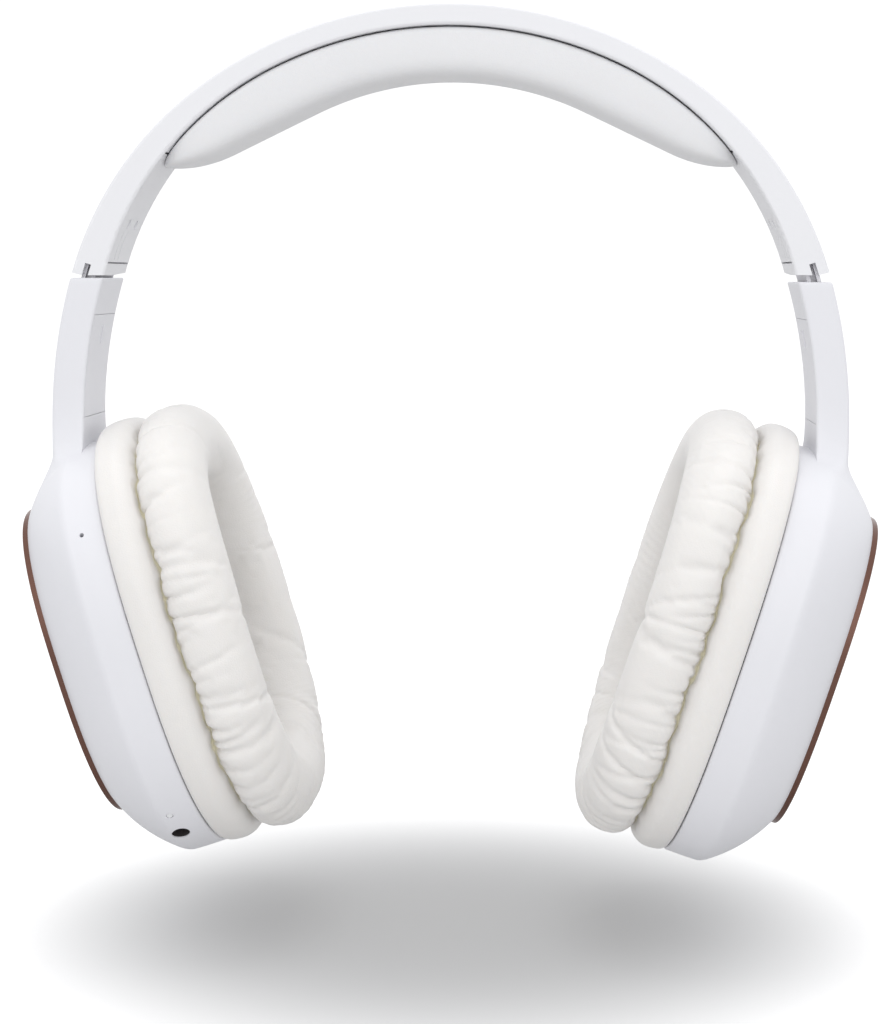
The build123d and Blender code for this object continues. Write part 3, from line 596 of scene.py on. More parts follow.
class Finishes:
    """Every finish of the headphones, each made once."""

    TABLE = (
        Finish("band_plastic", (0.80, 0.80, 0.82), 0.36, grain_size=0.25, grain_depth=0.05),
        Finish("housing_plastic", (0.77, 0.77, 0.80), 0.38, grain_size=0.25, grain_depth=0.05),
        Finish("tongue_plastic", (0.74, 0.73, 0.76), 0.42, grain_size=0.3, grain_depth=0.06),
        Finish(
            "pad_leatherette", (0.77, 0.77, 0.78), 0.5, tone=0.03, grain=Grain.SKIN,
            grain_size=0.55, grain_depth=0.16, sheen=0.12, scatter=0.05,
            seam_and_fold_shade_colour=(0.42, 0.40, 0.37),
        ),
        Finish(
            "cushion_leatherette", (0.80, 0.78, 0.755), 0.44, tone=0.03, grain=Grain.SKIN,
            grain_size=0.5, grain_depth=0.16, sheen=0.10, scatter=0.06,
            seam_and_fold_shade_colour=(0.70, 0.655, 0.45),
        ),
        Finish(
            "ring_metal", (0.155, 0.075, 0.055), 0.32, 0.08, 0.12, Grain.BRUSHED, 0.5, 0.12,
            metallic=0.9, coat=0.3,
        ),
        Finish("cap_plastic", (0.74, 0.73, 0.76), 0.3, grain_size=0.2, grain_depth=0.04, coat=0.25),
        Finish("spring_steel", (0.55, 0.55, 0.57), 0.3, 0.1, 0.05, Grain.BRUSHED, 0.3, 0.1, 1.0),
        Finish("screw_steel", (0.46, 0.46, 0.48), 0.34, 0.1, 0.05, Grain.BRUSHED, 0.2, 0.1, 1.0),
        Finish("basket_steel", (0.30, 0.30, 0.32), 0.45, 0.1, 0.06, Grain.BRUSHED, 0.4, 0.1, 0.8),
        Finish("magnet_iron", (0.18, 0.18, 0.19), 0.5, 0.1, 0.1, grain_size=0.6, metallic=0.7),
        Finish("diaphragm_film", (0.62, 0.60, 0.55), 0.25, 0.08, 0.05, grain_size=0.8, coat=0.4),
        Finish("inner_plastic", (0.58, 0.53, 0.48), 0.55, 0.08, 0.06, grain_size=0.4),
        Finish(
            "speaker_cloth", (0.66, 0.65, 0.64), 0.85, 0.08, 0.06, Grain.WOVEN, 0.45, 0.5,
            sheen=0.3,
        ),
        Finish("board_laminate", (0.03, 0.16, 0.07), 0.4, 0.1, 0.15, Grain.LAMINATE, 0.6, 0.2),
        Finish("socket_plastic", (0.045, 0.04, 0.04), 0.45, 0.08, 0.1, grain_size=0.3),
        Finish("socket_steel", (0.5, 0.5, 0.51), 0.3, 0.1, 0.05, Grain.BRUSHED, 0.2, 0.1, 1.0),
        Finish("light_pipe", (0.82, 0.83, 0.84), 0.2, 0.05, 0.03, grain_size=0.5, coat=0.5),
        Finish("battery_wrap", (0.42, 0.44, 0.47), 0.35, 0.1, 0.05, grain_size=1.2, metallic=0.3),
        Finish("button_plastic", (0.74, 0.74, 0.77), 0.4, grain_size=0.25, grain_depth=0.06),
    )

    def __init__(self) -> None:
        """Builds one material for each finish in the table."""
        self.materials = {finish.name: finish.build() for finish in self.TABLE}

    def dress(self, piece: bpy.types.Object, name: str) -> None:
        """Puts a finish on every slot of a piece.

        Args:
            piece: The object to dress.
            name: The finish, which is also the record's slot.
        """
        material = self.materials[name]
        if not piece.data.materials:
            piece.data.materials.append(material)
        for index in range(len(piece.data.materials)):
            piece.data.materials[index] = material
        "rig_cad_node" not in piece


# ---------------------------------------------------------------- where things stand


@dataclass(frozen=True)
class CupFrame:
    """The place of one cup, and of the arm that carries it.

    Attributes:
        side: Which side it is on.
        tilt: How far the cup leans in at the bottom, in degrees.
        across: From the middle plane to the cup's centre, on its open edge.
        drop: How far that centre is below the origin.
        arm_x: Centre of the arm's arcs.
        arm_z: Height of that centre.
        slide_x: Centre of the slide's arc.
        slide_z: Height of that centre.
        rest_slide: How far the right arm stands out at rest, along the slide.
        slide_radius: Radius of the slide.
    """

    side: Side
    tilt: float = 17.0
    across: float = 58.0
    drop: float = 114.8
    arm_x: float = -28.126
    arm_z: float = -70.175
    slide_x: float = -11.0986
    slide_z: float = -65.1633
    rest_slide: float = 0.9
    slide_radius: float = 88.0

    @property
    def lean(self) -> float:
        """The tilt in radians."""
        return math.radians(self.tilt)

    def stand(self, points: Array) -> Array:
        """Takes right-hand (x, y, z) points to this side at rest, in metres.

        The right side is turned about the slide's centre by its rest slide over the
        slide's radius, and the left side is the mirror image of the unturned points.

        Args:
            points: Millimetres, in an array whose last axis is x, y, z.

        Returns:
            The same points in the part's frame, in metres.
        """
        x, y, z = points[..., 0], points[..., 1], points[..., 2]
        if self.side is Side.LEFT:
            return np.stack([-x, y, z], axis=-1) * MM
        turn = self.rest_slide / self.slide_radius
        dx, dz = x - self.slide_x, z - self.slide_z
        turned_x = self.slide_x + dx * math.cos(turn) + dz * math.sin(turn)
        turned_z = self.slide_z - dx * math.sin(turn) + dz * math.cos(turn)
        return np.stack([turned_x, y, turned_z], axis=-1) * MM

    def place(self, points: Array) -> Array:
        """Takes (up, forward, outward) points of the cup to the part's frame, in metres.

        Args:
            points: Millimetres, in an array whose last axis is up, forward, outward.

        Returns:
            The same points in the part's frame, in metres.
        """
        up, front, out = points[..., 0], points[..., 1], points[..., 2]
        x = self.across + up * math.sin(self.lean) + out * math.cos(self.lean)
        z = -self.drop + up * math.cos(self.lean) - out * math.sin(self.lean)
        return self.stand(np.stack([x, -front, z], axis=-1))

    def arm_centre(self) -> tuple[float, float]:
        """The centre of the arm's arcs, as (up, outward) of the cup.

        Returns:
            The two distances from the centre of the cup's open edge.
        """
        dx, dz = self.arm_x - self.across, self.arm_z + self.drop
        up = dx * math.sin(self.lean) + dz * math.cos(self.lean)
        return up, dx * math.cos(self.lean) - dz * math.sin(self.lean)

    def sector(
        self, centre: tuple[float, float], radii: tuple[float, float],
        turns: tuple[float, float], depth: float, name: str,
    ) -> bpy.types.Object:
        """A curved block about a centre in the front view.

        Each corner runs along an arc: x = cx + r cos a, z = cz + r sin a.

        Args:
            centre: The arcs' centre (x, z).
            radii: Inner and outer radius.
            turns: First and last angle from +X, in degrees.
            depth: Front to rear.
            name: The object's name.

        Returns:
            A closed solid on this side.
        """
        angle = np.radians(np.linspace(turns[0], turns[1], 33))
        corners = [(radii[0], -1), (radii[1], -1), (radii[1], 1), (radii[0], 1)]
        rows = [
            np.stack(
                [
                    centre[0] + radius * np.cos(angle),
                    np.full_like(angle, half * depth / 2),
                    centre[1] + radius * np.sin(angle),
                ],
                axis=-1,
            )
            for radius, half in corners
        ]
        points = self.stand(np.stack(rows, axis=1))
        shell = Shell()
        shell.grid(points, ring=True)
        shell.cap(points[0])
        shell.cap(points[-1])
        return shell.build(name)


# ---------------------------------------------------------------- cup housing


@dataclass
class CupHousing:
    """The moulding of arm, flare and cup, as one closed shell.

    Attributes:
        where: The side and place.
        rim: Half height and half depth at the soft crease.
        rim_out: Outward place of that crease.
        middle: Half sizes half way down the bevel.
        middle_out: Outward place of the middle section.
        disc: Half sizes of the bevel's end, where the disc starts.
        disc_out: Outward place of that end.
        disc_shift: How far the disc is above the cup's centre.
        seat: Half sizes of the disc's seat.
        seat_out: Outward place of the seat's floor.
        floor_out: Outward place of the inside of that floor.
        wall: Wall of the cup.
        arm_radius: Outer face of the arm.
        arm_thickness: Thickness of the arm.
        arm_depth: Front to rear of the arm.
        arm_top: Height of the arm's upper end.
        arm_cut: Where the swept arm takes over, up from the cup's centre.
        flare: How far the concave flare reaches, in the cup's outline.
        saddle: How far the arm's outer face blends with the bevel.
        edge: Rounding of the arm's long edges and of the crease.
    """

    where: CupFrame
    rim: tuple[float, float] = (43.8, 36.2)
    rim_out: float = 7.5
    middle: tuple[float, float] = (39.3, 30.3)
    middle_out: float = 14.2
    disc: tuple[float, float] = (33.4, 22.7)
    disc_out: float = 19.4
    disc_shift: float = 1.0
    seat: tuple[float, float] = (33.3, 22.6)
    seat_out: float = 17.9
    floor_out: float = 16.4
    wall: float = 2.0
    arm_radius: float = 109.0
    arm_thickness: float = 6.6
    arm_depth: float = 20.5
    arm_top: float = -39.9
    arm_cut: float = 57.0
    flare: float = 12.0
    saddle: float = 5.0
    edge: float = 0.7

    def _through(self, low: float, middle: float, high: float, s: Array) -> Array:
        """The parabola through three stations at s = 0, 1 and 2."""
        bend = (low - 2 * middle + high) / 2
        return low + (middle - low - bend) * s + bend * s * s

    def skin(self, up: Array, front: Array) -> Array:
        """Outward place of the moulding's outer face above a point of the cup's plane.

        The bevel is a family of ovals whose sizes and outward place are parabolas in a
        level s; the level of a point is found by halving. The arm's face is a circular
        arc, lowered beside the arm by the square of the distance. The two are joined by
        a rounded maximum.

        Args:
            up: Distances up from the cup's centre.
            front: Distances forward.

        Returns:
            The outward places.
        """
        low, high = np.zeros_like(up), np.full_like(up, 4.4)
        for _ in range(32):
            s = (low + high) / 2
            half_up = self._through(self.disc[0], self.middle[0], self.rim[0], s)
            half_front = self._through(self.disc[1], self.middle[1], self.rim[1], s)
            shift = self.disc_shift * (1 - s / 2)
            gauge = np.abs((up - shift) / half_up) ** OVAL_POWER
            gauge = gauge + np.abs(front / half_front) ** OVAL_POWER
            low, high = np.where(gauge > 1, s, low), np.where(gauge > 1, high, s)
        bevel = self._through(self.disc_out, self.middle_out, self.rim_out, (low + high) / 2)
        beside = np.maximum(np.abs(front) - self.arm_depth / 2, 0.0)
        arm = self.arm_face(up, self.arm_radius) - (beside / 2.0) ** 2
        return smooth_max(bevel, arm, self.saddle)

    def arm_face(self, up: Array, radius: float) -> Array:
        """Outward place of one of the arm's arcs: centre + sqrt(r^2 - (up - centre)^2)."""
        centre_up, centre_out = self.where.arm_centre()
        return centre_out + np.sqrt(radius**2 - (up - centre_up) ** 2)

    def underside(self, up: Array) -> Array:
        """Outward place of the arm's inner face, held to the rim's side wall on the cup."""
        face = self.arm_face(np.maximum(up, 0.0), self.arm_radius - self.arm_thickness)
        return np.minimum(face, self.rim_out * 0.6)

    def outline(self, count: int) -> tuple[Array, Array]:
        """The moulding's edge beside the arm and round the cup.

        The radius at each angle is the rounded maximum of the rim's oval and of the
        straight side of the arm, half its depth over the sine of the angle.

        Args:
            count: How many points, from the arm's front corner round to its rear one.

        Returns:
            The (up, front) points, and the points of the rim's oval at the same angles.
        """
        half = self.arm_depth / 2
        first = math.atan2(half, self.arm_cut)
        quarter = first + (math.pi - first) * np.linspace(0.0, 1.0, 6000) ** 2
        angle = np.concatenate([quarter, (2 * np.pi - quarter)[::-1][1:]])
        rim = oval_radius(angle, *self.rim)
        side = half / np.maximum(np.abs(np.sin(angle)), 0.02)
        side = np.where(np.cos(angle) > 0, side, 0.0)
        radius = smooth_max(rim, side, self.flare)
        ray = np.stack([np.cos(angle), np.sin(angle)], axis=-1)
        dense = radius[:, None] * ray
        step = np.linalg.norm(np.diff(dense, axis=0), axis=1)
        length = np.concatenate([[0.0], np.cumsum(step)])
        where = np.linspace(0.0, length[-1], count)
        edge = np.stack([np.interp(where, length, dense[:, k]) for k in (0, 1)], axis=-1)
        oval = rim[:, None] * ray
        inner = np.stack([np.interp(where, length, oval[:, k]) for k in (0, 1)], axis=-1)
        return edge, inner

    def build(self, side_count: int = 300, end_count: int = 17) -> bpy.types.Object:
        """Builds the whole moulding from grids that share their borders.

        Args:
            side_count: Columns round the cup and the arm's sides.
            end_count: Columns across the arm, its two corners left out.

        Returns:
            The housing's object.
        """
        shell = Shell()
        place = self.where.place
        half = self.arm_depth / 2
        edge, oval = self.outline(side_count)
        normal = np.gradient(edge, axis=0)[:, ::-1] * (1.0, -1.0)
        normal[0], normal[-1] = (0.0, 1.0), (0.0, -1.0)
        normal /= np.linalg.norm(normal, axis=1, keepdims=True)
        shoulder = edge - self.edge * normal
        fronts = np.linspace(-half + self.edge, half - self.edge, end_count + 2)[1:-1]
        end = np.stack([np.full(end_count, self.arm_cut), fronts], axis=-1)

        # outer skin, from the disc's edge to the shoulder and to the arm's cut
        border = np.vstack([shoulder, end])
        step = np.linalg.norm(np.roll(border, -1, axis=0) - border, axis=1)
        share = np.concatenate([[0.0], np.cumsum(step)[:-1]]) / step.sum()
        share += (half - self.edge) / step.sum()
        disc = even_oval(*self.disc, share) + (self.disc_shift, 0.0)
        flat = straight_rows(disc, border, 40)
        lifted = np.concatenate([flat, self.skin(flat[..., 0], flat[..., 1])[..., None]], axis=-1)
        lifted[0, :, 2] = self.disc_out
        shell.grid(place(lifted), ring=True)

        # rounded shoulder, side wall, rounded lower edge of the arm
        top = self.skin(edge[:, 0], edge[:, 1])
        reach = np.linalg.norm(edge - oval, axis=1)
        round_low = np.minimum(self.edge, 0.45 * reach)
        low = self.underside(edge[:, 0])
        crest, brow = raised(edge, top), raised(edge, top - self.edge)
        rounded = bezier_rows(lifted[-1, :side_count], crest, brow, 6)
        wall = straight_rows(rounded[-1], raised(edge, low + round_low), 8)
        inner_start = edge - round_low[:, None] * normal
        inner_edge = raised(inner_start, self.underside(inner_start[:, 0]))
        heel = raised(edge, low)
        inner_edge[reach < TINY] = heel[reach < TINY]
        turned = bezier_rows(wall[-1], heel, inner_edge, 5)
        for grid in (rounded, wall, turned):
            shell.grid(place(grid))

        # inner face of the arm, then the rim's wall, its edge and the inside of the cup
        angle = np.arctan2(end[:, 1], end[:, 0])
        end_oval = oval_radius(angle, *self.rim)[:, None] * np.stack([np.cos(angle), np.sin(angle)], -1)
        starts = np.vstack([inner_start, end])
        ends = np.vstack([oval, end_oval])
        flat = straight_rows(starts, ends, 9)
        face = np.concatenate([flat, self.underside(flat[..., 0])[..., None]], axis=-1)
        face[0, :side_count] = inner_edge
        shell.grid(place(face), ring=True)
        self._inside(shell, ends, face[-1, :, 2])
        self._seat(shell, disc)
        self._arm(shell, lifted[-1], rounded, wall, turned, face[0], side_count)
        return shell.build(self.where.side.named("housing_shell"))

    def _inside(self, shell: Shell, oval: Array, start_out: Array) -> None:
        """The rim's lower wall, its rounded edge, and the cavity up to its floor.

        Every ring is the rim's oval shrunk towards the centre, at its own outward place.

        Args:
            shell: Takes the grid.
            oval: Points of the rim's oval.
            start_out: Outward place where the wall starts, for each point.
        """
        angle = np.arctan2(oval[:, 1], oval[:, 0])
        ray = np.stack([np.cos(angle), np.sin(angle)], axis=-1)
        stations = [
            (-0.15, 0.5), (-0.25, 0.18), (-0.5, 0.0), (-self.wall, 0.0),
            (-self.wall, self.rim_out - 0.8),
        ]
        rows = [np.concatenate([oval, start_out[:, None]], axis=-1)]
        for inset, out in stations:
            ring = (oval_radius(angle, *self.rim) + inset)[:, None] * ray
            rows.append(np.concatenate([ring, np.full((len(ring), 1), out)], axis=-1))
        deep = ((self.middle[0] - self.wall, self.middle[1] - self.wall, self.middle_out - 0.8),
                (self.disc[0] - 1.2, self.disc[1] - 1.2, self.floor_out),
                (self.disc[0] / 2, self.disc[1] / 2, self.floor_out),
                (0.0, 0.0, self.floor_out))
        for half_up, half_front, out in deep:
            radius = oval_radius(angle, half_up, half_front) if half_up else np.zeros_like(angle)
            ring = radius[:, None] * ray
            rows.append(np.concatenate([ring, np.full((len(ring), 1), out)], axis=-1))
        shell.grid(self.where.place(np.stack(rows)), ring=True)

    def _seat(self, shell: Shell, disc: Array) -> None:
        """The disc's seat: a thin land, a straight wall and a flat floor.

        Args:
            shell: Takes the grid.
            disc: Points round the bevel's end.
        """
        centre = np.array((self.disc_shift, 0.0))
        shrink = self.seat[0] / self.disc[0]
        rows = []
        for scale, out in (
            (1.0, self.disc_out), (shrink, self.disc_out - 0.05), (shrink, self.seat_out),
            (0.5, self.seat_out), (0.0, self.seat_out),
        ):
            ring = centre + (disc - centre) * scale
            rows.append(np.concatenate([ring, np.full((len(ring), 1), out)], axis=-1))
        shell.grid(self.where.place(np.stack(rows)), ring=True)

    def _arm(
        self, shell: Shell, skin_end: Array, rounded: Array, wall: Array, turned: Array,
        face_start: Array, side_count: int,
    ) -> None:
        """Sweeps the arm's section along its arc, up to its level end.

        A point keeps its radius about the arm's centre, and its angle runs to where that
        radius meets the end's height. The end is rounded by a quarter circle.

        Args:
            shell: Takes the grids.
            skin_end: The outer skin's last row.
            rounded: The shoulder's grid.
            wall: The side wall's grid.
            turned: The lower edge's grid.
            face_start: The inner face's first row.
            side_count: Columns that belong to the sides.
        """
        last = side_count - 1
        down = np.vstack([rounded[1:, 0], wall[1:, 0], turned[1:, 0]])
        rise = np.vstack([rounded[1:, last], wall[1:, last], turned[1:, last]])[::-1]
        ring = np.vstack([
            skin_end[last:last + 1], skin_end[side_count:], skin_end[0:1], down,
            face_start[side_count:][::-1], rise,
        ])
        centre_up, centre_out = self.where.arm_centre()
        across = ring[:, 1]
        radius = np.hypot(ring[:, 0] - centre_up, ring[:, 2] - centre_out)
        start = np.arctan2(ring[:, 0] - centre_up, ring[:, 2] - centre_out)
        section = np.stack([radius, across], axis=-1)
        inward = -closed_normals(section)
        middle = np.array((self.arm_radius - self.arm_thickness / 2, 0.0))
        if np.mean(np.sum(inward * (middle - section), axis=1)) < 0:
            inward = -inward
        corner = 0.35

        def ring_at(inset: float, height: float, share: float) -> Array:
            """One ring: inset from the section, share of the way to a height.

            Args:
                inset: How far inside the section.
                height: The height that the ring is on its way to.
                share: The share of that way.

            Returns:
                The (up, front, out) points.
            """
            moved = section + inset * inward
            top = np.arcsin((height - self.where.arm_z) / moved[:, 0]) + self.where.lean
            turn = start + share * (top - start)
            up = centre_up + moved[:, 0] * np.sin(turn)
            out = centre_out + moved[:, 0] * np.cos(turn)
            return np.stack([up, moved[:, 1], out], axis=-1)

        rows = [ring_at(0.0, self.arm_top - corner, share) for share in np.linspace(0, 1, 26)]
        for turn in np.radians((22.5, 45.0, 67.5, 90.0)):
            height = self.arm_top - corner + corner * math.sin(turn)
            rows.append(ring_at(corner * (1 - math.cos(turn)), height, 1.0))
        points = self.where.place(np.stack(rows))
        shell.grid(points, ring=True)
        shell.cap(points[-1])


@dataclass
class HousingOpenings:
    """What is cut out of a housing: the tongue's pocket, the cover's seat and the ports.

    Attributes:
        where: The side and place.
        split: Angle of the joint between headband and arm, from +X, in degrees.
        tongue: Radius, thickness and depth of the tongue.
        pocket: How far the tongue's pocket goes into the arm.
        fit: Clearance round fixed pieces.
        inner_radius: The arm's inner face.
        cover: Thickness and depth of the arm's inner cover.
        cover_turns: Angles from +X between which the cover lies.
        port_turn: Sockets, degrees round the rim from its lowest point.
        port_place: Outward place of sockets and buttons.
        rim: Half height and half depth of the rim.
        jack_radius: Room for the round socket's nose.
        mouth_radius: The hole over that nose.
        lip: Thickness of the skin round that hole.
        usb: Width and length of the charging socket's slot.
        light_turn: Status light, degrees round the rim from its lowest point.
        light_radius: Its hole.
        mic_turn: Microphone, degrees round the rim from its highest point.
        mic_place: Its outward place.
        mic_radius: Its hole.
        button: Length and width of a button's hole.
        button_pitch: From one button to the next.
    """

    where: CupFrame
    split: float = 16.398
    tongue: tuple[float, float, float] = (88.0, 2.7, 17.0)
    pocket: float = 24.1
    fit: float = 0.1
    inner_radius: float = 102.4
    cover: tuple[float, float] = (1.0, 19.2)
    cover_turns: tuple[float, float] = (1.04, 12.87)
    rim: tuple[float, float] = (43.8, 36.2)
    port_turn: float = 39.0
    port_place: float = 5.4
    jack_radius: float = 2.45
    mouth_radius: float = 1.85
    lip: float = 0.36
    usb: tuple[float, float] = (2.9, 7.8)
    light_turn: float = 50.0
    light_radius: float = 0.7
    mic_turn: float = 57.0
    mic_place: float = 4.3
    mic_radius: float = 0.45
    button: tuple[float, float] = (8.24, 2.84)
    button_pitch: float = 10.5

    def cutters(self) -> list[bpy.types.Object]:
        """Every solid to cut from this side's housing.

        Returns:
            Closed solids, to be subtracted one after another.
        """
        radius, thickness, depth = self.tongue
        half = thickness / 2 + self.fit
        low = self.split - math.degrees(self.pocket / radius)
        slide = (self.where.slide_x, self.where.slide_z)
        arm = (self.where.arm_x, self.where.arm_z)
        seat = (self.inner_radius - 3.0, self.inner_radius + self.cover[0])
        room = (self.inner_radius - 1.0, self.inner_radius + 3.2)
        low_turn, high_turn = self.cover_turns
        made = [
            self.where.sector(
                slide, (radius - half, radius + half), (low, self.split + 6.0),
                depth + 2 * self.fit, "cut_pocket",
            ),
            self.where.sector(arm, seat, self.cover_turns, self.cover[1] + 2 * self.fit, "cut_seat"),
            self.where.sector(arm, room, (low_turn + 0.8, high_turn - 0.8), depth - 2.0, "cut_room"),
        ]
        if self.where.side is Side.LEFT:
            made.extend(self._ports())
        return made

    def _ports(self) -> list[bpy.types.Object]:
        """The round socket, the charging socket, the light, the microphone and the buttons.

        Returns:
            Closed solids, to be subtracted one after another.
        """
        made = [
            self._bore(self.port_turn, self.port_place, False, True, self.mouth_radius, "cut_mouth"),
            self._bore(
                self.port_turn, self.port_place, False, True, self.jack_radius, "cut_jack",
                (self.lip, 5.0),
            ),
            self._bore(self.light_turn, self.port_place, False, True, self.light_radius, "cut_light"),
            self._bore(self.mic_turn, self.mic_place, True, True, self.mic_radius, "cut_mic"),
            self._slot(self.port_turn, self.usb),
        ]
        for index in (-1, 0, 1):
            made.append(self._window(index * self.button_pitch))
        return made

    def _seat(self, turn: float, place: float, upper: bool, front: bool) -> tuple[Array, Array]:
        """A point on the rim and the direction straight in from it.

        Args:
            turn: Degrees from the rim's end, on the oval's own parameter.
            place: Outward place.
            upper: Whether it is on the upper half.
            front: Whether it is on the front half.

        Returns:
            The point and the unit direction, as (up, front, out).
        """
        up = self.rim[0] * math.cos(math.radians(turn)) ** (2 / OVAL_POWER)
        across = self.rim[1] * math.sin(math.radians(turn)) ** (2 / OVAL_POWER)
        rise = (up / self.rim[0]) ** (OVAL_POWER - 1) / self.rim[0]
        lean = (across / self.rim[1]) ** (OVAL_POWER - 1) / self.rim[1]
        up_sign, front_sign = (1 if upper else -1), (1 if front else -1)
        inward = np.array((-up_sign * rise, -front_sign * lean, 0.0))
        point = np.array((up_sign * up, front_sign * across, place))
        return point, inward / np.linalg.norm(inward)

    def _prism(
        self, section: Array, point: Array, inward: Array, name: str,
        reach: tuple[float, float] = (-3.0, 5.0),
    ) -> bpy.types.Object:
        """A straight prism through the rim with a given section.

        Args:
            section: Points (along the rim, outward) round the section.
            point: The place on the rim.
            inward: The direction straight in.
            name: The object's name.
            reach: Where it starts and ends, inward from the place on the rim.

        Returns:
            A closed solid from outside the rim to inside the wall.
        """
        out = np.array((0.0, 0.0, 1.0))
        along = np.cross(out, inward)
        ring = point + section[:, :1] * along + section[:, 1:] * out
        points = self.where.place(np.stack([ring + reach[0] * inward, ring + reach[1] * inward]))
        shell = Shell()
        shell.grid(points, ring=True)
        shell.cap(points[0])
        shell.cap(points[1])
        return shell.build(name)

    def _bore(
        self, turn: float, place: float, upper: bool, front: bool, radius: float, name: str,
        reach: tuple[float, float] = (-3.0, 5.0),
    ) -> bpy.types.Object:
        """A round hole square to the rim.

        Args:
            turn: Degrees from the rim's end.
            place: Outward place.
            upper: Whether it is on the upper half.
            front: Whether it is on the front half.
            radius: The hole's radius.
            name: The object's name.
            reach: Where it starts and ends, inward from the rim.

        Returns:
            A closed solid.
        """
        angle = np.linspace(0.0, 2 * np.pi, 40, endpoint=False)
        section = radius * np.stack([np.cos(angle), np.sin(angle)], axis=-1)
        return self._prism(section, *self._seat(turn, place, upper, front), name, reach)

    def _slot(self, turn: float, size: tuple[float, float]) -> bpy.types.Object:
        """A round-cornered slot low on the rear of the rim."""
        section = rounded_box(size[1], size[0], 1.2)
        return self._prism(section, *self._seat(turn, self.port_place, False, False), "cut_usb")

    def _window(self, along: float) -> bpy.types.Object:
        """A button's hole through the rear of the rim.

        Args:
            along: The button's place, up from the cup's centre.

        Returns:
            A closed solid.
        """
        section = rounded_box(self.button[0], self.button[1], self.button[1] / 2 - 0.02)
        point = np.array((along, -self.rim[1], self.port_place))
        return self._prism(section, point, np.array((0.0, 1.0, 0.0)), "cut_button")


def rounded_box(length: float, width: float, corner: float) -> Array:
    """Points round a box with quarter-circle corners, length along the first axis.

    Args:
        length: Size along the first axis.
        width: Size along the second axis.
        corner: The corners' radius.

    Returns:
        The points, one row each.
    """
    angle = np.linspace(0.0, 2 * np.pi, 49)[:-1] + np.pi / 48
    ray = np.stack([np.cos(angle), np.sin(angle)], axis=-1)
    return corner * ray + np.sign(ray) * (length / 2 - corner, width / 2 - corner)


# ---------------------------------------------------------------- ear cushion


